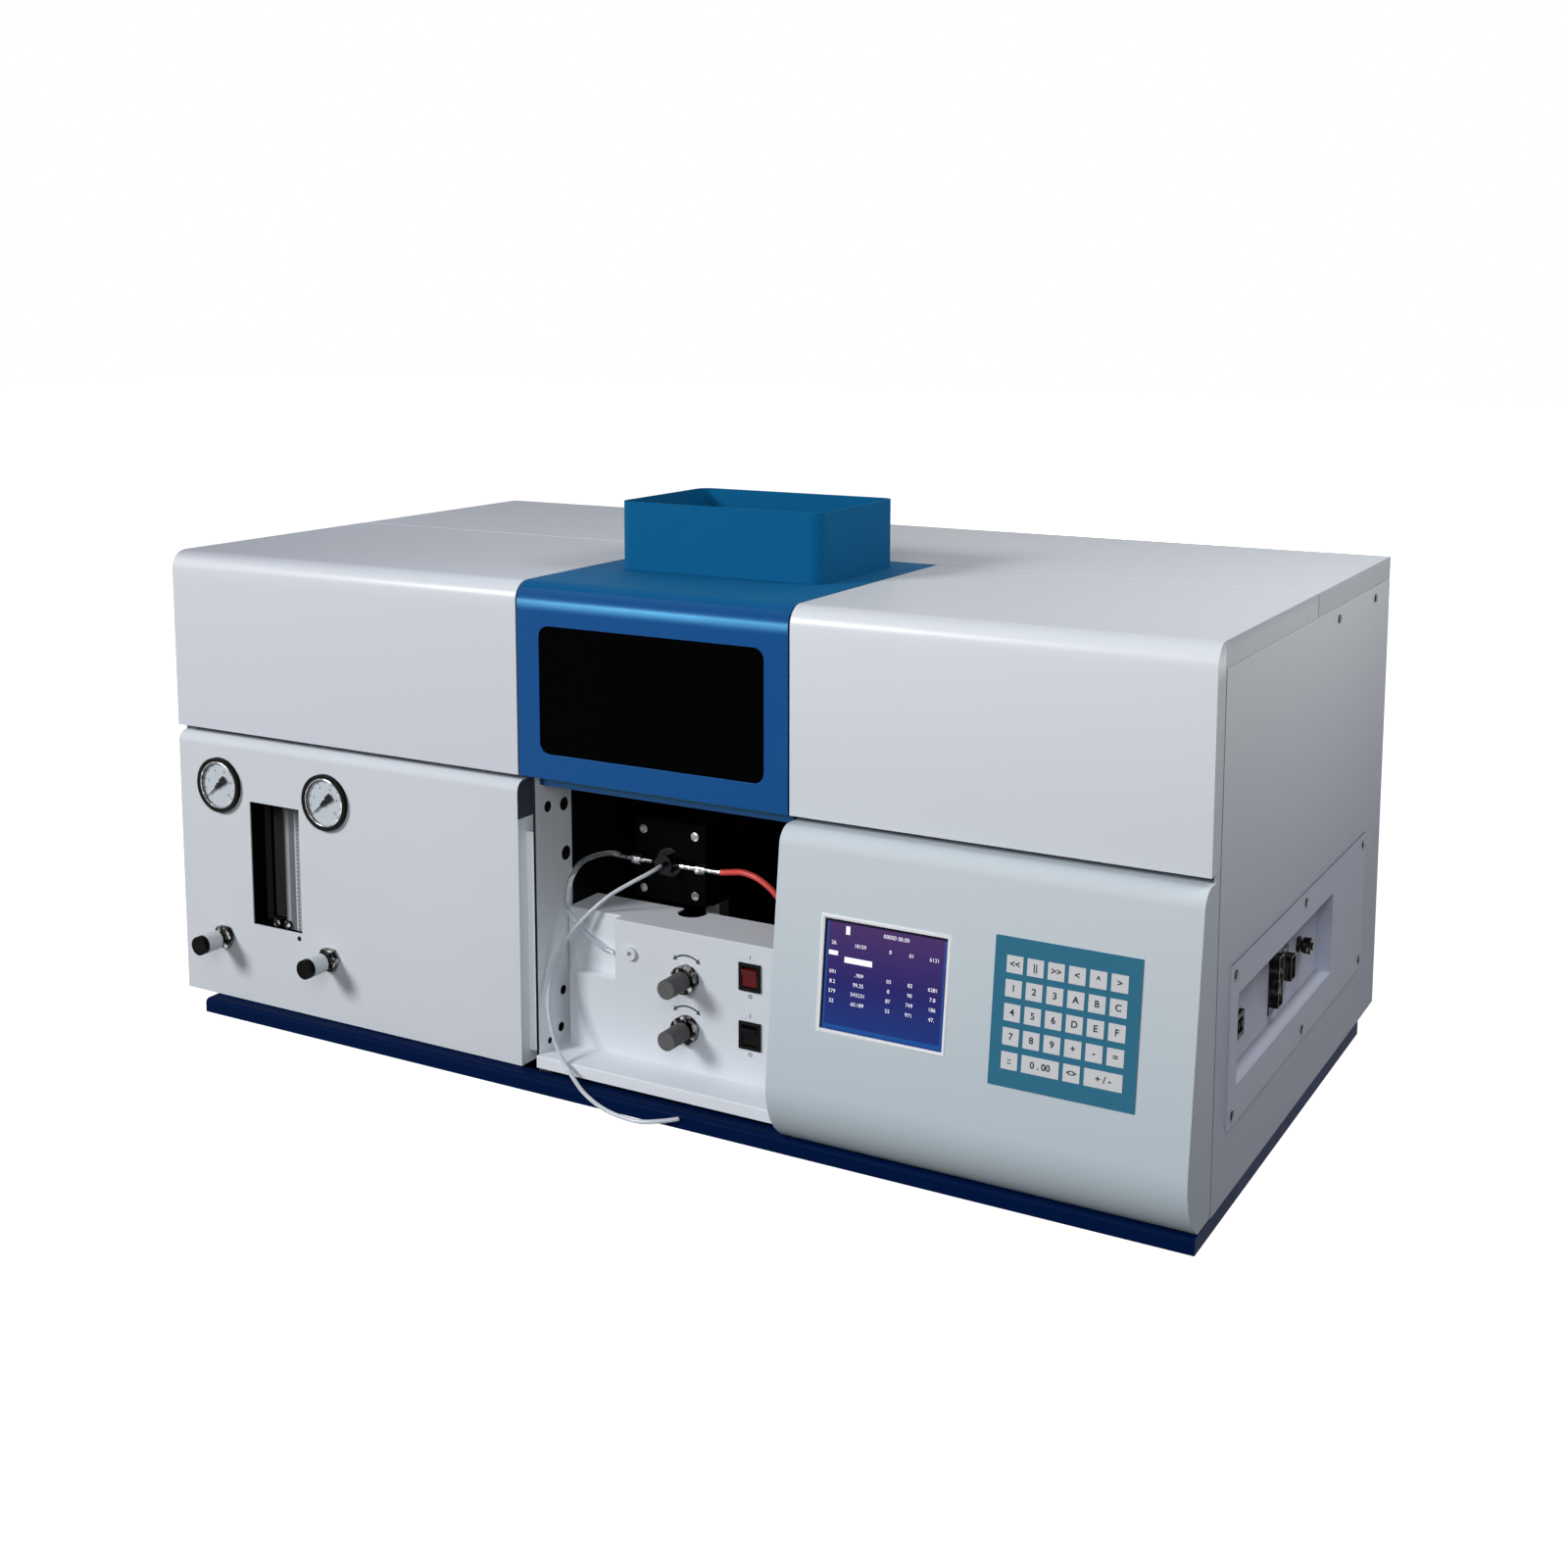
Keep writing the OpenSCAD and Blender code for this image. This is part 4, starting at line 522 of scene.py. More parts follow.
def smooth_route(points, steps=6):
    """Points on a smooth curve through the route's points, in the frame."""
    p = [spot(*point) for point in points]
    curve = []
    for i in range(len(p) - 1):
        a, b, c, d = p[max(i - 1, 0)], p[i], p[i + 1], p[min(i + 2, len(p) - 1)]
        for s in range(steps):
            t = s / steps
            curve.append(0.5 * (2 * b + (c - a) * t + (2 * a - 5 * b + 4 * c - d) * t * t
                                + (3 * b - a - 3 * c + d) * t ** 3))
    return curve + [p[-1]]


def swept_ring(curve, radius, sides=14):
    """A closed tube along a curve, as a bmesh."""
    mesh = bmesh.new()
    last = len(curve) - 1
    ahead = [(curve[min(i + 1, last)] - curve[max(i - 1, 0)]).normalized() for i in range(last + 1)]
    side = ahead[0].orthogonal().normalized()
    around = [2 * math.pi * k / sides for k in range(sides)]
    rings = []
    for point, direction in zip(curve, ahead):
        side = (side - side.dot(direction) * direction).normalized()
        up = direction.cross(side)
        circle = [point + radius * (math.cos(a) * side + math.sin(a) * up) for a in around]
        rings.append([mesh.verts.new(edge) for edge in circle])
    join_rings(mesh, rings)
    return mesh


print("routes of", len(AIR_ROUTE), len(FUEL_ROUTE), len(CAPILLARY_ROUTE), "points")

# %% Tube pieces
HOSE_DRIFT = 0.1
HOSE_SMEARS = 150


def hose(name, colour, clouds, smear, smoothest, **constants):
    """A tube's finish, with the scale of its clouds and the range of its roughness."""
    finish = Finish(name, colour, smoothest + smear / 2, **constants)
    finish.cloud(HOSE_DRIFT, clouds)
    finish.dull(HOSE_SMEARS, smear, smoothest)
    return finish


def free_tube(node, route, diameter, finish):
    """A tube that hangs free along its route; its length is printed."""
    curve = smooth_route(route)
    mesh = swept_ring(curve, diameter / 2 * MM)
    piece = new_piece(node + "_piece", mesh, finish, None)
    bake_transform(piece)
    length = sum((b - a).length for a, b in zip(curve, curve[1:]))
    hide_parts(node)
    finished.add(node)
    print(node, round(length / MM), "mm long")


clear_hose = hose("clear_hose", pigment(222, 228, 234), 60, 0.1, 0.13,
                  transmission_weight=0.35, ior=1.3)
glassy_hose = hose("glassy_hose", pigment(226, 231, 236), 60, 0.06, 0.04,
                   transmission_weight=0.9, ior=1.4)
red_hose = hose("red_hose", pigment(206, 66, 62), 90, 0.1, 0.3, specular_ior_level=0.4)
free_tube("air_hose", AIR_ROUTE, 5, glassy_hose)
free_tube("fuel_hose", FUEL_ROUTE, 5.5, red_hose)
free_tube("sample_capillary", CAPILLARY_ROUTE, 3.6, clear_hose)

# %% [markdown]
# ## Painted covers
#
# The cabinet is white with a cool cast, but in the picture no white is even: the lids are lighter
# towards their bends, and their tops darken towards the left end. This light and shade is painted:
# the paint is blended over the height of a lid's front and over the width of its top, and the tops
# run into the deck behind them, which has the same painted shade, without a step. The lids are
# polished along their bends, where hands lift them.

# %% Lids and deck
SATIN = (0.46, 0.03)
SHEET = (1.3, 0.6)
SMALL_FOLD = 0.8
PLAIN_WHITE = pigment(216, 221, 228)
BEND_Z = 432
BEND_HALF = 14
BEND_BACK = 18
COAT = 1.1
COAT_ROUGHNESS = 0.28
LID_FOOT = 277
FRONT_HEIGHT = 130
TOP_START = 438
TOP_FADE = 6
TOP_WIDTH = 410
# Painted shade: the deck's top darkens towards the left end.
DECK_PAINTED_SHADE = (pigment(207, 212, 226), PLAIN_WHITE)
DECK_START = drawn_box("rear_top_deck")[0].y


def lid_enamel_painted_light_shade(name, front, top):
    """White for a lid, with painted light and shade: two colours from foot to bend, and two on its top
    that run into the deck's.
    """
    finish = enamel(name, PLAIN_WHITE, *SATIN)
    finish.shader.inputs["Coat Roughness"].default_value = COAT_ROUGHNESS
    x, y, z = finish.place()
    # Painted light on the front, lighter towards the bend, and painted shade on the top, darker towards
    # the left end.
    front_painted_light = finish.blend((z - LID_FOOT) / FRONT_HEIGHT, *front)
    across = x / TOP_WIDTH
    top_painted_shade = finish.blend(y / DECK_START, finish.blend(across, *top), finish.blend(across, *DECK_PAINTED_SHADE))
    finish.paint(front_painted_light, ((z - TOP_START) / TOP_FADE, top_painted_shade))
    coat = (BEND_HALF - abs(z - BEND_Z)) / BEND_HALF * (y < BEND_BACK) * COAT
    finish.feed("Coat Weight", coat | 0)
    return finish


# For each lid: front colours from foot to bend as painted light, then top colours from left to right as
# painted shade.
LIDS = (("left_lid", "left_lid_painted_light_shade", (pigment(213, 218, 228), pigment(217, 222, 229)),
         (pigment(185, 189, 202), pigment(221, 227, 240))),
        ("right_lid", "right_lid_painted_light", (pigment(218, 223, 231), pigment(228, 233, 240)),
         (PLAIN_WHITE, PLAIN_WHITE)),
        ("rear_top_deck", "deck_white_painted_shade", (PLAIN_WHITE, PLAIN_WHITE), DECK_PAINTED_SHADE))
for node, name, front, top in LIDS:
    softened(node, lid_enamel_painted_light_shade(name, front, top), *SHEET)
print("deck behind the lids from", round(DECK_START), "mm")

# %% [markdown]
# The other covers differ in small ways. The gas panel gets painted shade near the top of its right
# edge, for the gap beside it. The sill in the compartment is a paler white, as painted light. The
# console's white is cooler, and painted light makes it lighter towards the top. The right side gets
# painted shade near its foot and in the seams at its front and top, and painted shade lies along the
# upper edge of the socket plate. Each of these is a coat with a mask on the height, width or depth.

# %% Panels
NOTCH_X = (drawn_box("left_front_panel")[1].x + 0.7, 1)
NOTCH_Z = (257, 20)
NOTCH_BACK = 40
CONSOLE_LOW = 50
CONSOLE_RISE = 200
white_enamel = enamel("white_enamel", PLAIN_WHITE, *SATIN)
x, y, z = white_enamel.place()
# Painted shade: the top of the panel's right edge is darkened, for the gap beside it.
gap_painted_shade = x.near(*NOTCH_X) * z.near(*NOTCH_Z) * (y < NOTCH_BACK)
white_enamel.paint(white_enamel.tint, (gap_painted_shade, pigment(64, 70, 86)))
for panel in ("left_front_panel", "left_side_panel"):
    softened(panel, white_enamel, *SHEET)
for panel in ("control_box", "back_panel"):
    softened(panel, white_enamel, SMALL_FOLD)
# Painted light: the sill is a paler copy of the white enamel.
sill_white_painted_light = enamel("sill_white_painted_light", pigment(232, 237, 245), *SATIN)
softened("chamber_floor", sill_white_painted_light, SMALL_FOLD)
console_white_painted_light = enamel("console_white_painted_light", pigment(204, 213, 220), *SATIN)
# Painted light: the console lightens towards its top.
height = (console_white_painted_light.place()[2] - CONSOLE_LOW) / CONSOLE_RISE
console_white_painted_light.paint(pigment(194, 206, 215), (height, pigment(209, 218, 225)))
softened("right_front_panel", console_white_painted_light, *SHEET)
print("panels, sill and console")

# %% Right side
SIDE_LOW = 150
SIDE_RISE = 260
SEAM = 1.2
SHADE_BAND = 0.5
side_start, side_end = drawn_box("right_side_panel")
side_white_painted_shade = enamel("side_white_painted_shade", PLAIN_WHITE, *SATIN)
_, y, z = side_white_painted_shade.place()
# Painted shade: the side darkens towards its foot, and its seams at the front and top are painted dark.
height = (z - SIDE_LOW) / SIDE_RISE
seam_shade = (z > side_end.z - SEAM) | (y < side_start.y + SEAM)
side_white_painted_shade.paint(pigment(196, 201, 218), (height, pigment(237, 241, 247)), (seam_shade, pigment(104, 109, 120)))
softened("right_side_panel", side_white_painted_shade, *SHEET)
socket_plate_painted_shade = enamel("socket_plate_painted_shade", pigment(206, 211, 228), *SATIN)
# Painted shade along the upper edge of the socket plate.
plate_edge_shade = socket_plate_painted_shade.place()[2] > drawn_box("socket_plate")[1].z - SHADE_BAND
socket_plate_painted_shade.paint(socket_plate_painted_shade.tint, (plate_edge_shade, pigment(128, 134, 146)))
softened("socket_plate", socket_plate_painted_shade, SMALL_FOLD)
print("right side and socket plate")

# %% [markdown]
# The base tray is navy. The hood and its chimney are a lighter blue that turns greener towards the
# top. Under the window the hood's rail is painted darker, as painted shade, and a painted dark slit of
# shade parts the hood from it. The sheen along the hood's bend is blue. The bend in the picture is wider
# than the one in the CAD model, so a bump that falls away smoothly over its height moves the sheen to its
# place.

# %% Hood, chimney and base tray
HOOD_TOP = 436
HOOD_FADE = 10
PRESSED = (420, 443)
PRESS_DEPTH = 4.8
DULL_START = 441
TOP_DULLNESS = 0.5
HOOD_SMOOTHEST = 0.27
PAINTED_SLIT_SHADE = (LID_FOOT - 2.6, 2.4)
hood_blue = enamel("hood_blue", pigment(1, 58, 126), 0.34, 0.6, drift=0.06)
hood_blue.shader.inputs["Specular Tint"].default_value = (0.15, 0.65, 1.0, 1.0)
z = hood_blue.place()[2]
span = {"Value": z, "From Min": PRESSED[0], "From Max": PRESSED[1], "To Max": -PRESS_DEPTH}
pressed = hood_blue.add("ShaderNodeMapRange", span, interpolation_type="SMOOTHSTEP")
hood_blue.relief(hood_blue.noise(PEEL, 1.0) * PEEL_DEPTH + Wire(hood_blue, pressed.outputs[0]), 1.0)
hood_blue.dull(SMEARS, SMEAR, (z > DULL_START) * TOP_DULLNESS + HOOD_SMOOTHEST)
# Painted shade: the rail under the hood is darker, with a dark slit of shade between them.
hood_blue.paint(hood_blue.tint, ((z - HOOD_TOP) / HOOD_FADE, pigment(1, 86, 134)),
                (z < LID_FOOT, pigment(18, 44, 98)), (z.near(*PAINTED_SLIT_SHADE), pigment(6, 13, 36)))
softened("hood", hood_blue, 1.0, 0.3)
softened("chimney", hood_blue, 0.5, 0.4)
navy_enamel = enamel("navy_enamel", pigment(1, 23, 63), 0.5, 0.02, drift=0.06)
softened("base_tray", navy_enamel, 1.5, 0.4)
print("hood, chimney and base tray")

# %% [markdown]
# The left wall of the burner compartment is white only near the front, where it can be seen; farther
# back it is black, like the rest of the compartment. Its white is paler than the cabinet's, as painted
# light, and its front edge, its holes and two more spots are painted black, as painted shade. One wall
# with two paints could be cut in two, but a mask on the depth keeps it whole.

# %% Compartment and window
BLACK = pigment(7, 7, 8)
WHITE_FROM = drawn_box("chamber_left_wall")[0].y + 0.9
WHITE_TO = 57
WALL_HOLES = ((46, 243, 6), (48, 198, 6.5), (41, 74, 4.2), (37, 41, 4.2), (22, 246, 5), (20, 34, 3))
soot = enamel("soot_black", BLACK, 0.6, 0.03, drift=0.2)
finish_node(soot, "chamber_right_wall", "chamber_back_wall")
wall_paint_light_shade = enamel("wall_paint_light_shade", pigment(244, 249, 255), 0.45, 0.1)
_, y, z = wall_paint_light_shade.place()
# Painted light: the white is paler than the cabinet's. Painted shade: the front edge, the holes and two
# more spots are black.
painted = (y < WHITE_TO) * (y > WHITE_FROM)
for hole_y, hole_z, radius in WALL_HOLES:
    painted = painted * ((y - hole_y).distance(z - hole_z) > radius)
wall_paint_light_shade.paint(BLACK, (painted, wall_paint_light_shade.tint))
softened("chamber_left_wall", wall_paint_light_shade, 0.6)
dark_glass = Finish("dark_glass", pigment(1, 1, 2), 0.3, specular_ior_level=0.008)
dark_glass.dull(30, 0.1, 0.25)
dark_glass.cloud(0.3, 20)
softened("hood_window", dark_glass, SMALL_FOLD)
print("compartment painted")

# %% [markdown]
# ## Gas panel
#
# Each pressure gauge has a black bezel, a bright inner ring, a printed dial and a domed glass. The
# dial's ticks are not drawn one by one: the shader folds both dials onto one, measures each point's
# distance and bearing from the spindle, and prints a tick wherever the bearing is a whole number of
# steps. The plain numbers are lettering.

# %% Gauges
GAUGE_X = (53, 186.5)
GAUGE_Z = 224
SCALE_END = 130
LONG_STEP = 26
LONG_TICK = (19.5, 1.9)
SHORT_STEP = 5.2
SHORT_TICK = (20.6, 0.8)
SCALE_LINE = (21.6, 0.25)
black_plastic = plastic("black_plastic", pigment(9, 9, 10), 0.4, 0.07)
bright_chrome = plated("bright_chrome", (0.3, 0.3, 0.31), (0.8, 0.81, 0.83), 0.12)
dark_chrome = plated("dark_chrome", (0.012, 0.011, 0.011), (0.42, 0.41, 0.41), 0.16)
softened("gauge_cases", black_plastic, 1.0)
dial_print = plastic("dial_print", pigment(202, 210, 218), 0.5, 0.1)
x, _, z = dial_print.place()
across = abs(x - sum(GAUGE_X) / 2) - (GAUGE_X[1] - GAUGE_X[0]) / 2
above = z - GAUGE_Z
radius = across.distance(above)
bearing = across.bearing(above)


def ticks(step, width):
    """One wherever the bearing is a whole number of steps from the scale's end."""
    return (bearing + SCALE_END + step / 2).stripes(step, width / 2)


long_ticks = ticks(LONG_STEP, 2.2) * radius.near(*LONG_TICK)
short_ticks = ticks(SHORT_STEP, 1.2) * radius.near(*SHORT_TICK)
scale = long_ticks | short_ticks | radius.near(*SCALE_LINE)
ink = (abs(bearing) < SCALE_END + 1) * scale
dial_print.paint(dial_print.drift(0.02, 40), (ink, pigment(30, 32, 36)))
finish_node(dial_print, "gauge_dials")
finish_node(black_plastic, "air_pointer", "fuel_pointer", "flow_float")
print(len(GAUGE_X), "gauges")

# %% [markdown]
# The glass is a shallow dome that bulges towards the reader, with a bright ring round it, and the
# pointer's short end carries a black weight. The weights move with the pointers, so each is a piece
# of its own on the pointer's body.

# %% Gauge glasses, rings and numbers
DOME = [(1, -4.5), (8, -4.4), (15, -4.0), (19, -3.6), (21.8, -3.1), (21.8, -2.7)]
ROUND = [math.pi * k / 4 for k in range(8)]
RING = [(22.2 + 0.8 * math.cos(a), -3.4 + 0.8 * math.sin(a)) for a in ROUND]
NUMBER_STEP = 2 * LONG_STEP
NUMBER_RADIUS = 14.2
NUMBER_Y = -0.86
NUMBER_SIZE = 4.0
POINTER_ZERO = math.radians(230)
POINTER_Y = -2.8
WEIGHT_BARS = (((-3.4, -0.5, -11), (3.4, 0.2, -3.5)), ((-1.8, -0.4, -4), (1.8, 0.2, 5)))
clear_glass = Finish("clear_glass", (0.9, 0.93, 0.95), 0.04, alpha=0.015)
clear_glass.dull(60, 0.04, 0.02)
print_ink = Finish("print_ink", pigment(36, 38, 44), 0.5, specular_ior_level=0.2)
print_ink.cloud(0.15, 300)
glasses = bmesh.new()
rings = bmesh.new()
numbers = bmesh.new()
for gauge_x, body in zip(GAUGE_X, ("air_pointer", "fuel_pointer")):
    add_turned(glasses, gauge_x, GAUGE_Z, DOME)
    add_turned(rings, gauge_x, GAUGE_Z, RING, closed=True)
    for step in range(6):
        angle = math.radians(NUMBER_STEP * step - SCALE_END)
        aside, upwards = NUMBER_RADIUS * math.sin(angle), NUMBER_RADIUS * math.cos(angle)
        where = upright(gauge_x + aside, NUMBER_Y, GAUGE_Z + upwards)
        add_words(numbers, str(2 * step), where, NUMBER_SIZE)
    weight = bmesh.new()
    spindle = Matrix.Translation(spot(gauge_x, POINTER_Y, GAUGE_Z))
    for low, high in WEIGHT_BARS:
        add_bar(weight, low, high, spindle @ Matrix.Rotation(POINTER_ZERO, 4, "Y"))
    new_piece(body + "_weight", weight, black_plastic, body)
new_piece("gauge_glasses", glasses, clear_glass)
new_piece("gauge_rings", rings, bright_chrome)
new_piece("gauge_numbers", numbers, print_ink)
print("glasses, rings, numbers and weights")

# %% [markdown]
# The flowmeter stands at the right of a black recess: a clear block with a scale, a bore and a small
# float, on two dark fittings. Real acrylic would show the black recess through it and lose its
# bright rails, so the block is opaque here: the rails are painted highlights, bore, scale and dark
# left edge are masks on its width, and painted shade darkens it towards its top. The grey streak on
# the side of the recess and its lighter back are masks on the depth, and painted shade darkens that
# back towards its top. The needle valves below have plated nuts, a grey knurled barrel and a black end.

# %% Flowmeter
STREAK = (23, 4)
DEEP = 31
SHADE_START = 184
SHADE_DEPTH = 26
BLOCK_X = (127, 150)
LINE_STEP = 4
LINES = (5.5, 1.8)
BORE = (-1, 3.4)
RAIL_HIGHLIGHTS = ((3.4, 1), (9, 1))
DARK_EDGE = -7
EDGE_STEEPNESS = -0.3
recess_black = plastic("recess_black", pigment(6, 6, 7), 0.4, 0.03)
_, y, z = recess_black.place()
# Painted shade: the lighter back of the recess darkens towards its top.
deep = (y > DEEP) * ((SHADE_START + SHADE_DEPTH - z) / SHADE_DEPTH)
recess_black.paint(recess_black.tint, (y.near(*STREAK), pigment(66, 62, 63)),
                   (deep, pigment(104, 100, 102)))
softened("flowmeter_recess", recess_black, 0.5)
clear_block = Finish("clear_block", pigment(150, 153, 160), 0.25, specular_ior_level=0.1)
x, _, z = clear_block.place()
from_middle = x - sum(BLOCK_X) / 2
# Painted highlights along the two rails.
rail_highlights = from_middle.near(*RAIL_HIGHLIGHTS[0]) | from_middle.near(*RAIL_HIGHLIGHTS[1])
lines = z.stripes(LINE_STEP, 0.4) * from_middle.near(*LINES)
edge = (from_middle - DARK_EDGE) * EDGE_STEEPNESS
# Painted shade towards the top of the block.
shade = (z - SHADE_START) / SHADE_DEPTH
clear_block.paint(clear_block.drift(0.15, 50), (from_middle.near(*BORE), pigment(104, 106, 114)),
                  (rail_highlights, pigment(192, 195, 201)), (lines, pigment(84, 86, 92)),
                  (edge, pigment(30, 28, 29)), (shade, pigment(34, 33, 35)))
softened("flowmeter_tube", clear_block, 0.6)
print("flowmeter")

# %% Valves and fittings
VALVE_END = -30
NUT = [(3.6, 1), (4.4, 1.8), (4.4, 5), (3, 5.6), (3, 12)]
NUT_X = (118, 131)
NUT_Z = 96.6
STUD = [(1.2, -0.9), (2.2, -0.5), (2.2, 0.2)]
softened("gas_fittings", dark_chrome, 1.2, 0.5)
valve_grey = plastic("valve_grey", pigment(222, 227, 231), 0.4, 0.04)
ended = valve_grey.place()[1] < VALVE_END
valve_grey.paint(valve_grey.drift(0.08, 600), (ended, BLACK))
for knob in ("air_valve_knob", "fuel_valve_knob"):
    softened(knob, valve_grey, 0.8)
fittings = bmesh.new()
for nut_x in NUT_X:
    add_turned(fittings, nut_x, NUT_Z, NUT, sides=6)
new_piece("flow_fittings", fittings, dark_chrome)
stud = bmesh.new()
add_turned(stud, 148, 87, STUD, sides=24)
new_piece("panel_stud", stud, black_plastic)
print("two valves and", len(NUT_X), "fittings")

# %% [markdown]
# ## Burner compartment
#
# The control box carries two grey knobs on plated collars, each with a curved arrow above it, and
# two rocker switches. The arrows could be a texture, but a picture needs a file and turns soft when
# it is enlarged. Here each is a flat strip bent round the knob, with a triangle at each end.

# %% Control box marks
KNOB_X = 555
KNOB_Z = (109, 64)
SWITCH_X = 618
SWITCH_MARKS = (("I", 138), ("O", 104), ("I", 87), ("O", 53))
BOX_PRINT = 38 - 0.08
ARROW_RADIUS = 20
ARROW_SPAN = math.radians(32)
ARROW_STEPS = 8
ARROW_HALF = 0.8
HEAD_LENGTH = math.radians(12)
HEAD_HALF = 2.6
marks = bmesh.new()


def box_point(knob_z, radius, angle):
    """A point on the front of the control box, by its distance and bearing from a knob."""
    along, above = radius * math.sin(angle), radius * math.cos(angle)
    return marks.verts.new(spot(KNOB_X + along, BOX_PRINT, knob_z + above))


for knob_z in KNOB_Z:
    bearings = [ARROW_SPAN * (step / ARROW_STEPS - 1) for step in range(2 * ARROW_STEPS + 1)]
    edges = (ARROW_RADIUS - ARROW_HALF, ARROW_RADIUS + ARROW_HALF)
    strip = [[box_point(knob_z, edge, angle) for edge in edges] for angle in bearings]
    for a, b in zip(strip, strip[1:]):
        marks.faces.new((a[0], b[0], b[1], a[1]))
    for side in (-1, 1):
        root = side * ARROW_SPAN
        head = [(0, root + side * HEAD_LENGTH), (-HEAD_HALF, root), (HEAD_HALF, root)]
        marks.faces.new([box_point(knob_z, ARROW_RADIUS + edge, angle) for edge, angle in head])
for words, mark_z in SWITCH_MARKS:
    add_words(marks, words, upright(SWITCH_X, BOX_PRINT, mark_z), 4.6, 0.15)
bmesh.ops.recalc_face_normals(marks, faces=marks.faces)
mark_ink = plastic("mark_ink", pigment(72, 80, 94), 0.5, 0.1)
new_piece("box_marks", marks, mark_ink)
print("arrows over", len(KNOB_Z), "knobs")

# %% Knobs and switches
grey_plastic = plastic("grey_plastic", pigment(98, 97, 98), 0.45, 0.1)
for knob in ("height_knob", "angle_knob"):
    softened(knob, grey_plastic, 0.9)
softened("knob_collars", dark_chrome, 2.6, 0.6)
softened("switch_frames", black_plastic, 0.6)
red_plastic = plastic("red_plastic", pigment(92, 18, 22), 0.3, 0.12)
softened("red_rocker", red_plastic, 0.6)
softened("black_rocker", black_plastic, 0.6)
print("two knobs and two switches")

# %% [markdown]
# The nebulizer sits in the black cap of the spray chamber. Its body is dark; the barbs of the two
# hoses and the heads of the cap screws are bright. One mask does both: what lies within a small
# circle round the nebulizer's axis is dark.

# %% Nebulizer and burner
NEBULIZER = (502, 189)
DARK_CORE = 15
mixed_metal = plated("nebulizer_metal", (0.22, 0.22, 0.22), (0.85, 0.85, 0.87), 0.14)
x, _, z = mixed_metal.place()
core = (x - NEBULIZER[0]).distance(z - NEBULIZER[1]) < DARK_CORE
mixed_metal.paint(mixed_metal.tint, (core, pigment(34, 34, 36)))
softened("nebulizer", mixed_metal, 0.6)
cap_black = plastic("cap_black", pigment(5, 5, 6), 0.5, 0.015)
softened("spray_chamber", cap_black, 1.2, 0.4)
burner_steel = brushed("burner_steel", (0.44, 0.44, 0.45), 0.38)
softened("burner_head", burner_steel, 0.6)
bare_alloy = brushed("bare_alloy", (0.62, 0.63, 0.65), 0.4)
finish_node(bare_alloy, "lift_post", "lift_guide")
print("burner")

# %% [markdown]
# ## Console
#
# The screen and the keypad lie on the sloping face of the console, so their marks are drawn in a
# tilted frame. `face_frame` finds it in the CAD mesh itself: the broadest faces that look forwards
# give the slope, and their corners give the size. `tilted_place` is the same frame for a shader.

# %% Sloping faces
FORWARDS = -0.9


def face_frame(node):
    """The frame of a node's broad front: its matrix at the lower left, its width and its height."""
    data = frame["nodes"][node].data
    groups = {}
    for polygon in data.polygons:
        key = tuple(round(v, 3) for v in polygon.normal)
        if key[1] < FORWARDS:
            groups.setdefault(key, []).append(polygon)
    faces = max(groups.values(), key=lambda group: sum(polygon.area for polygon in group))
    out = faces[0].normal.normalized()
    right = Vector((1, 0, 0))
    turned = Matrix((right, out.cross(right), out))
    points = [turned @ data.vertices[v].co for polygon in faces for v in polygon.vertices]
    low = Vector((min(p.x for p in points), min(p.y for p in points), max(p.z for p in points)))
    back = turned.transposed()
    width = max(p.x for p in points) - low.x
    height = max(p.y for p in points) - low.y
    return Matrix.Translation(back @ low) @ back.to_4x4(), width / MM, height / MM


def tilted_place(finish, matrix):
    """Where a surface point lies in a tilted frame: across, up and out, in millimetres."""
    start = (matrix.translation - corner) / MM
    x, y, z = [part - from_start for part, from_start in zip(finish.place(), start)]
    ways = [matrix.col[axis] for axis in range(3)]
    return [x * way.x + y * way.y + z * way.z for way in ways]


screen_matrix, screen_w, screen_h = face_frame("display")
film_matrix, film_w, film_h = face_frame("keypad")
print("screen", round(screen_w), round(screen_h), "keypad", round(film_w), round(film_h))

# %% [markdown]
# The screen glows from violet at its top to blue at its foot, with a brighter blue rim and a dark
# edge in the shadow of its trim. Its rows of figures are generic, drawn from a seeded random row of
# digits, so they are the same each time.

# %% Screen
RIM = 4
LINE_IN = RIM + 2.4
SHADOW_IN = RIM + 1.4
FADE = 2.2
FADE_START = 0.45
screen_glow = Finish("screen_glow", (0.004, 0.004, 0.01), 0.3, specular_ior_level=0.05,
                     emission_strength=0.85)
across, up, _ = tilted_place(screen_glow, screen_matrix)
height = up / screen_h
upper = screen_glow.blend((height - FADE_START) * FADE, pigment(40, 36, 108), pigment(76, 50, 108))
lower = screen_glow.blend(height * FADE, pigment(20, 58, 132), upper)
rim = abs(across - screen_w / 2).near(screen_w / 2 - LINE_IN, 0.6) | up.near(LINE_IN, 1.6)
rimmed = screen_glow.blend(rim, lower, pigment(26, 84, 160))
shadow = (up > screen_h - LINE_IN) | (across < SHADOW_IN)
screen_glow.feed("Emission Color", screen_glow.blend(shadow, rimmed, pigment(14, 10, 30)))
finish_node(screen_glow, "display")
print("screen glows")

# %% Figures on the screen
random.seed(7)
ROWS = (0.76, 0.52, 0.44, 0.36, 0.28)
COLUMNS = ((0.11, 3), (0.31, 6), (0.54, 2), (0.70, 3), (0.87, 4))
FIGURE_SIZE = 4.2
TITLE_SIZE = 4.4
PRINT_RISE = 0.05
BARS = (((22, 58), (46, 62.5)), ((22, 80), (25.5, 86.5)), ((8, 62.5), (16, 66)))
BAR_RISE = (0.02, 0.06)
figures = bmesh.new()


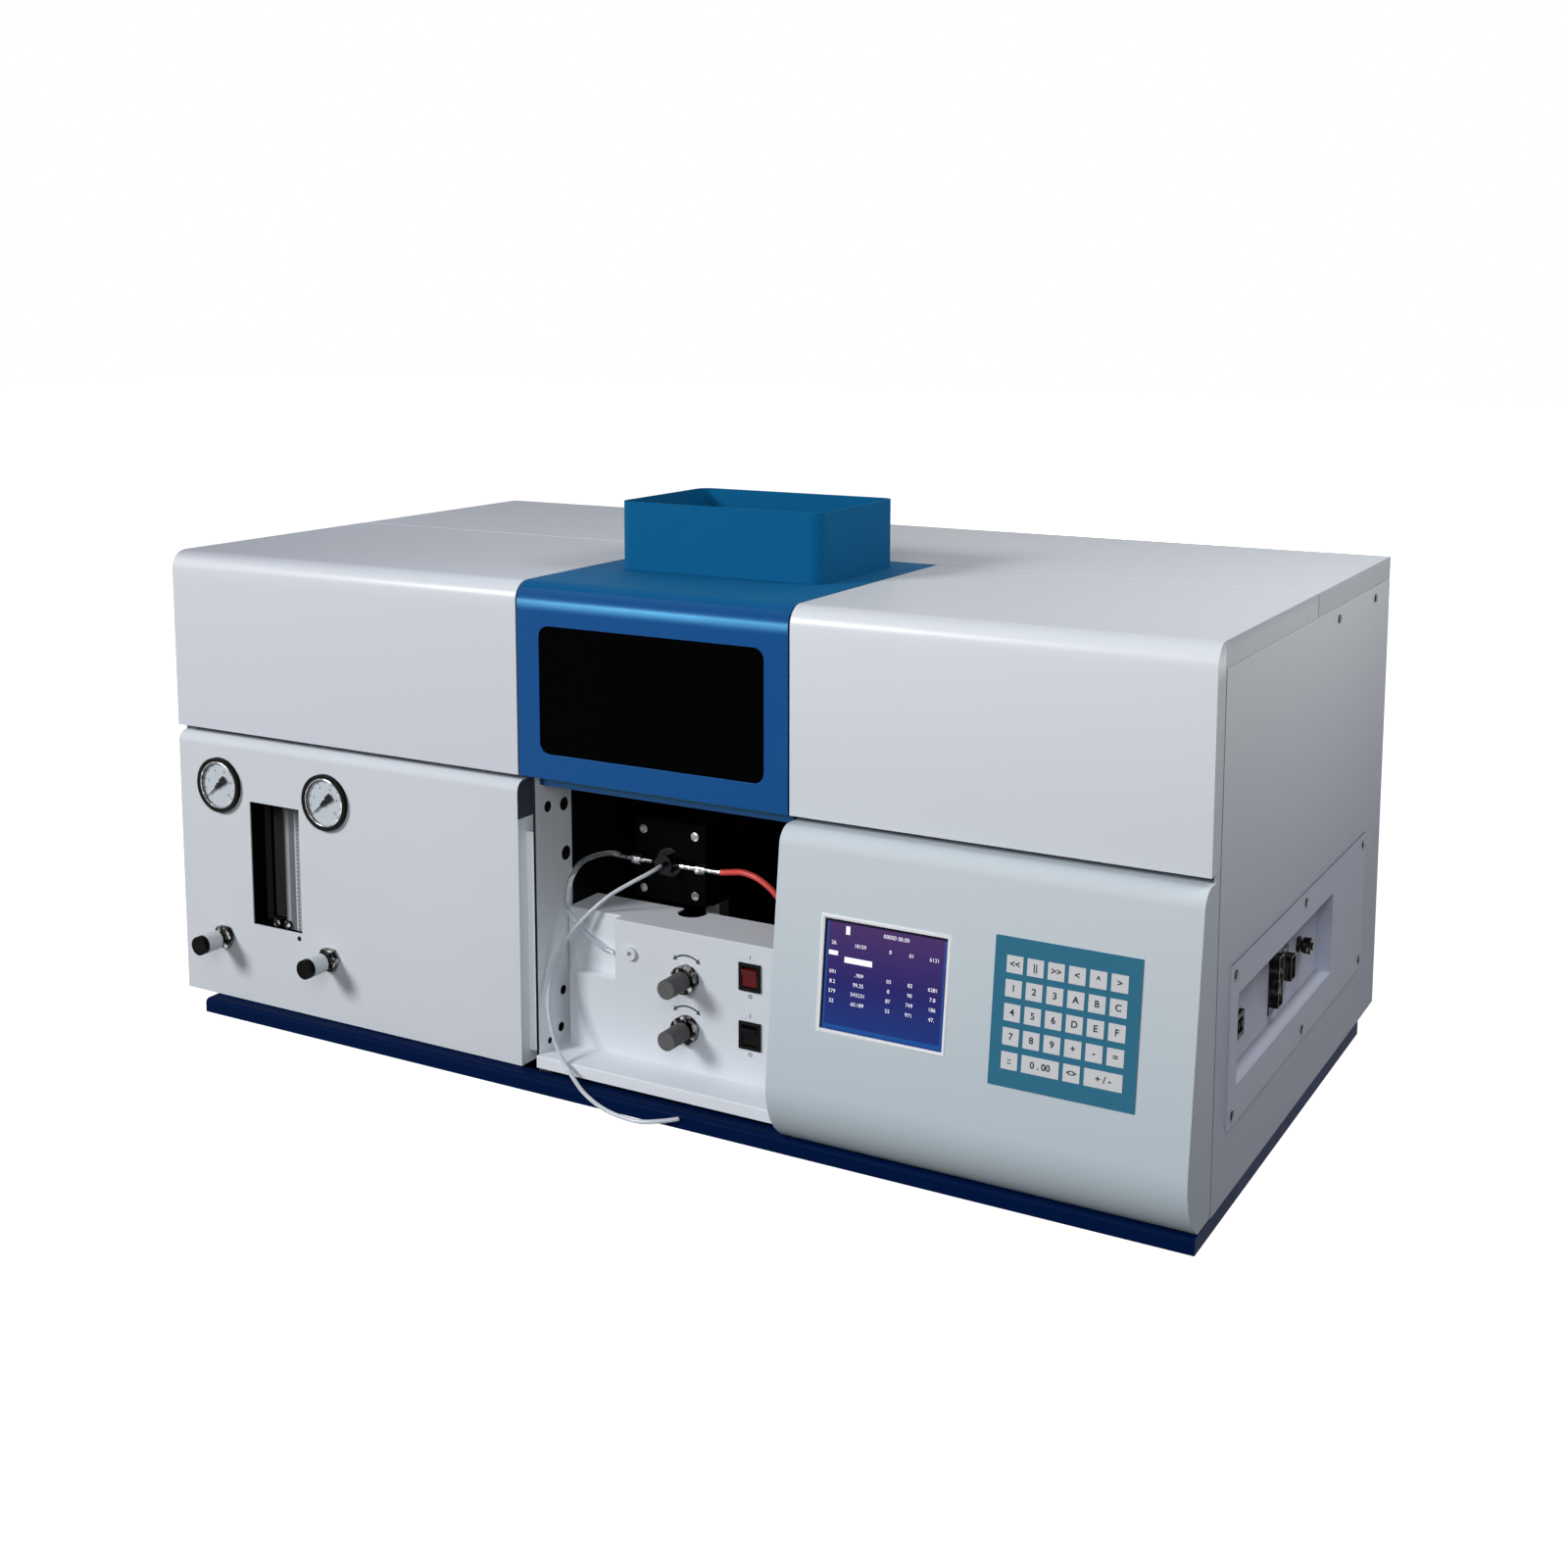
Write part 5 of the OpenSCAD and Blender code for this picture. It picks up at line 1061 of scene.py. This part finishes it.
def on_screen(across, up):
    """A place on the screen, given as parts of its width and height."""
    return screen_matrix @ Matrix.Translation(Vector((across * screen_w, up * screen_h, PRINT_RISE)) * MM)


for up_part in ROWS:
    for across_part, count in COLUMNS:
        words = "".join(random.choice("0123456789.") for _ in range(random.randint(count - 1, count)))
        add_words(figures, words, on_screen(across_part, up_part), FIGURE_SIZE)
add_words(figures, "00000 00.00", on_screen(0.58, 0.88), TITLE_SIZE)
for low, high in BARS:
    add_bar(figures, (*low, BAR_RISE[0]), (*high, BAR_RISE[1]), screen_matrix)
white_glow = Finish("white_glow", (0.6, 0.6, 0.65), 0.4, emission_strength=0.6)
flicker = white_glow.blend(white_glow.noise(300), (0.7, 0.7, 0.85), (0.95, 0.95, 1.0))
white_glow.feed("Emission Color", flicker)
new_piece("screen_figures", figures, white_glow)
print(len(ROWS), "rows on the screen")

# %% [markdown]
# A white trim frames the screen. It could be four bars, but bars meet badly at the corners. Here one
# profile, given as its distance from the opening and its height over the screen, is carried round
# the four corners, so the corners are mitred and the inner slope catches the light.

# %% Screen trim
TRIM = ((0, 0.1), (0, 1.7), (1.6, 2.4), (2.6, 2.1), (3.2, 1.4), (3.2, 0.6))
trim = bmesh.new()
hoops = []
for outwards, out in TRIM:
    start = RIM - outwards
    ends = ((start, start), (screen_w - start, start), (screen_w - start, screen_h - start),
            (start, screen_h - start))
    hoops.append([trim.verts.new(screen_matrix @ (Vector((*end, out)) * MM)) for end in ends])
join_rings(trim, hoops, closed=True)
trim_white = plastic("trim_white", pigment(236, 240, 245), 0.4, 0.05)
new_piece("screen_trim", trim, trim_white)
print("trim of", len(TRIM), "hoops")

# %% [markdown]
# The keypad is one film with raised keys, so its colour depends only on how far a point stands out:
# the film is teal and what rises above it is white. The legends are plain digits, letters and signs.

# %% Keypad
KEY_RISE = 0.4
COLUMN_PITCH = 16.25
ROW_PITCH = 18
KEY_ROWS = (("<<", "||", ">>", "<", "^", ">"), ("1", "2", "3", "A", "B", "C"),
            ("4", "5", "6", "D", "E", "F"), ("7", "8", "9", "+", "-", "="),
            ("::", "0 . 00", "<>", "+ / -"))
LAST_ROW = (0, 1.5, 3, 4.5)
LEGEND_SIZE = 7
LEGEND_BOLD = 0.18
keypad_film = plastic("keypad_film", pigment(50, 112, 140), 0.5, 0.1)
raised = tilted_place(keypad_film, film_matrix)[2] > -KEY_RISE / 2
keypad_film.paint(keypad_film.drift(0.05, 80), (raised, pigment(212, 214, 218)))
finish_node(keypad_film, "keypad")
first_x = (film_w - 5 * COLUMN_PITCH) / 2
first_y = (film_h - 4 * ROW_PITCH) / 2
legends = bmesh.new()
for row, keys in enumerate(reversed(KEY_ROWS)):
    columns = range(len(keys)) if row else LAST_ROW
    for column, words in zip(columns, keys):
        where = Vector((first_x + column * COLUMN_PITCH, first_y + row * ROW_PITCH, PRINT_RISE)) * MM
        add_words(legends, words, film_matrix @ Matrix.Translation(where), LEGEND_SIZE, LEGEND_BOLD)
new_piece("key_legends", legends, print_ink)
print(sum(len(keys) for keys in KEY_ROWS), "keys")

# %% [markdown]
# ## Right side and inside
#
# The screws on the sides have a cross cut, and its painted shade is one dark cross laid on each head.
# The parts that only show when a lid is up keep their CAD shape and get a plain finish of their family.

# %% Screws and sockets
HEAD = 1.5
PLATE_X = 1021.5 + HEAD
SIDE_X = 1020 + HEAD
PLATE_SCREWS = [(PLATE_X, y, z) for y in (63.5, 264, 464.5) for z in (77.5, 187.5)]
DECK_SCREWS = [(x, y, 414.5) for x in (SIDE_X, -HEAD) for y in (346, 480)]
CUT_LENGTH = 1.9
CUT_WIDTH = 0.4
CUT_DEPTH = 0.03
screw_steel = plated("screw_steel", (0.03, 0.03, 0.03), (0.13, 0.125, 0.12), 0.3)
softened("side_screws", screw_steel, 0.7, 0.3)
cross_shades = bmesh.new()
# Painted shade: a dark cross on each head stands for the shade in its cross cut.
for head in PLATE_SCREWS + DECK_SCREWS:
    for reach in ((CUT_DEPTH, CUT_LENGTH, CUT_WIDTH), (CUT_DEPTH, CUT_WIDTH, CUT_LENGTH)):
        add_bar(cross_shades, Vector(head) - Vector(reach), Vector(head) + Vector(reach))
new_piece("screw_cross_shades", cross_shades, print_ink)
softened("mains_inlet", black_plastic, 0.5)
socket_steel = plated("socket_steel", (0.012, 0.012, 0.012), (0.07, 0.068, 0.066), 0.34)
softened("data_sockets", socket_steel, 0.4)
softened("earth_terminal", socket_steel, 0.5)
print(len(PLATE_SCREWS) + len(DECK_SCREWS), "screw heads")

# %% [markdown]
# Under the lids lie the optics: lamps with a dark base and a glass bulb in a turret, dark castings
# on an alloy bench, and a green circuit board with copper tracks below. The board's tracks are a grid
# that noise breaks up, and its parts are what stands above the board.

# %% Inside
LAMP_BASE = 166
BOARD_TOP = 15.5
TRACKS_X = (7, 0.5)
TRACKS_Y = (9, 0.4)
finish_node(bare_alloy, "optical_bench", "power_supply")
finish_node(bright_chrome, "hinge_rod")
casting = enamel("dark_casting", pigment(58, 61, 66), 0.55, 0.2, drift=0.1)
finish_node(casting, "monochromator", "photomultiplier", "lens_tubes", "lamp_turret")
lamp_glass = Finish("lamp_glass", pigment(214, 196, 150), 0.1, transmission_weight=0.4)
based = lamp_glass.place()[0] < LAMP_BASE
lamp_glass.paint(lamp_glass.drift(0.05, 50), (based, pigment(40, 36, 32)))
finish_node(lamp_glass, "lamps")
board_green = plastic("board_green", pigment(44, 96, 60), 0.45)
x, y, z = board_green.place()
tracks = (x.stripes(*TRACKS_X) | y.stripes(*TRACKS_Y)) * (board_green.noise(60) > 0.5)
board_green.paint(board_green.drift(0.1, 100), (tracks, pigment(140, 128, 70)),
                  (z > BOARD_TOP, pigment(34, 34, 36)))
finish_node(board_green, "main_board")
mirror = plated("mirror", (0.6, 0.63, 0.72), (0.78, 0.81, 0.88), 0.06)
finish_node(mirror, "grating")
print("without a finish:", sorted(set(body_of) - finished))

# %% [markdown]
# ## Floor and light
#
# The object stands in a bright studio: a soft key light from the front left and above, a weaker one
# from the front right, a small one over its right end, a low one behind it, and an even sky. To the
# camera, in mirrors and through glass, the floor and the sky are white. To the rest of the object
# they are only as bright as a plain grey room, and the floor still takes the object's shadow.

# %% Floor and sky
CABINET_MIDDLE = (510, 260)
SHADOW_REACH = 750
FLOOR_HALF = 12
FLOOR_DROP = 0.5
ROOM_LIGHT = 0.08
floor_paint = Finish("floor_paint", (0.4, 0.4, 0.4), 0.9, specular_ior_level=0.0, emission_strength=1.0)
white_room = floor_paint.unlit()
x, y, _ = floor_paint.place()
away = ((x - CABINET_MIDDLE[0]).distance(y - CABINET_MIDDLE[1]) - SHADOW_REACH) / SHADOW_REACH
seen_floor = floor_paint.blend(away, (0.9, 0.9, 0.9), (1, 1, 1))
floor_paint.feed("Emission Color", floor_paint.blend(white_room, (0, 0, 0), seen_floor))
floor_paint.paint((0.1, 0.1, 0.1), (white_room, (0.5, 0.5, 0.5)))
floor_mesh = bmesh.new()
bmesh.ops.create_grid(floor_mesh, x_segments=1, y_segments=1, size=FLOOR_HALF)
floor = new_piece("floor", floor_mesh, floor_paint, body=None)
floor.location.z = corner.z - FLOOR_DROP * MM
floor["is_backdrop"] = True
world = bpy.data.worlds.new("studio")
scene.world = world
world.use_nodes = True
sky = Graph(world.node_tree)
room = sky.add("ShaderNodeBackground", {"Color": (0.92, 0.96, 1.0, 1), "Strength": ROOM_LIGHT})
backdrop = sky.add("ShaderNodeBackground", {"Color": (1, 1, 1, 1), "Strength": 1.0})
chosen = sky.add("ShaderNodeMixShader", {0: sky.unlit(), 1: room.outputs[0], 2: backdrop.outputs[0]})
sky.tree.links.new(chosen.outputs[0], sky.tree.nodes["World Output"].inputs["Surface"])
print("floor and sky")

# %% Lamps
LAMPS = (("key", (-2.2, -3.4, 2.2), (0, -0.2, 0.2), 1.1, 125),
         ("fill", (0.8, -2.3, 1.3), (0.2, -0.2, 0.2), 1.4, 18),
         ("end", (1.0, 0.1, 1.15), (0.45, 0, 0.4), 0.5, 4.8),
         ("back", (-0.6, 4.5, 0.29), (0, 0.3, 0.22), 0.3, 70))
for name, place, target, size, power in LAMPS:
    lamp_data = bpy.data.lights.new(name, "AREA")
    lamp_data.size = size
    lamp_data.energy = power
    lamp = bpy.data.objects.new(name, lamp_data)
    scene.collection.objects.link(lamp)
    lamp.location = place
    lamp.rotation_euler = (Vector(target) - Vector(place)).to_track_quat("-Z", "Y").to_euler()
scene.view_settings.view_transform = "Standard"
print(len(LAMPS), "square lamps")

# %% Finish
low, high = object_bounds()
print("visual box", [round(v, 3) for v in low], [round(v, 3) for v in high])
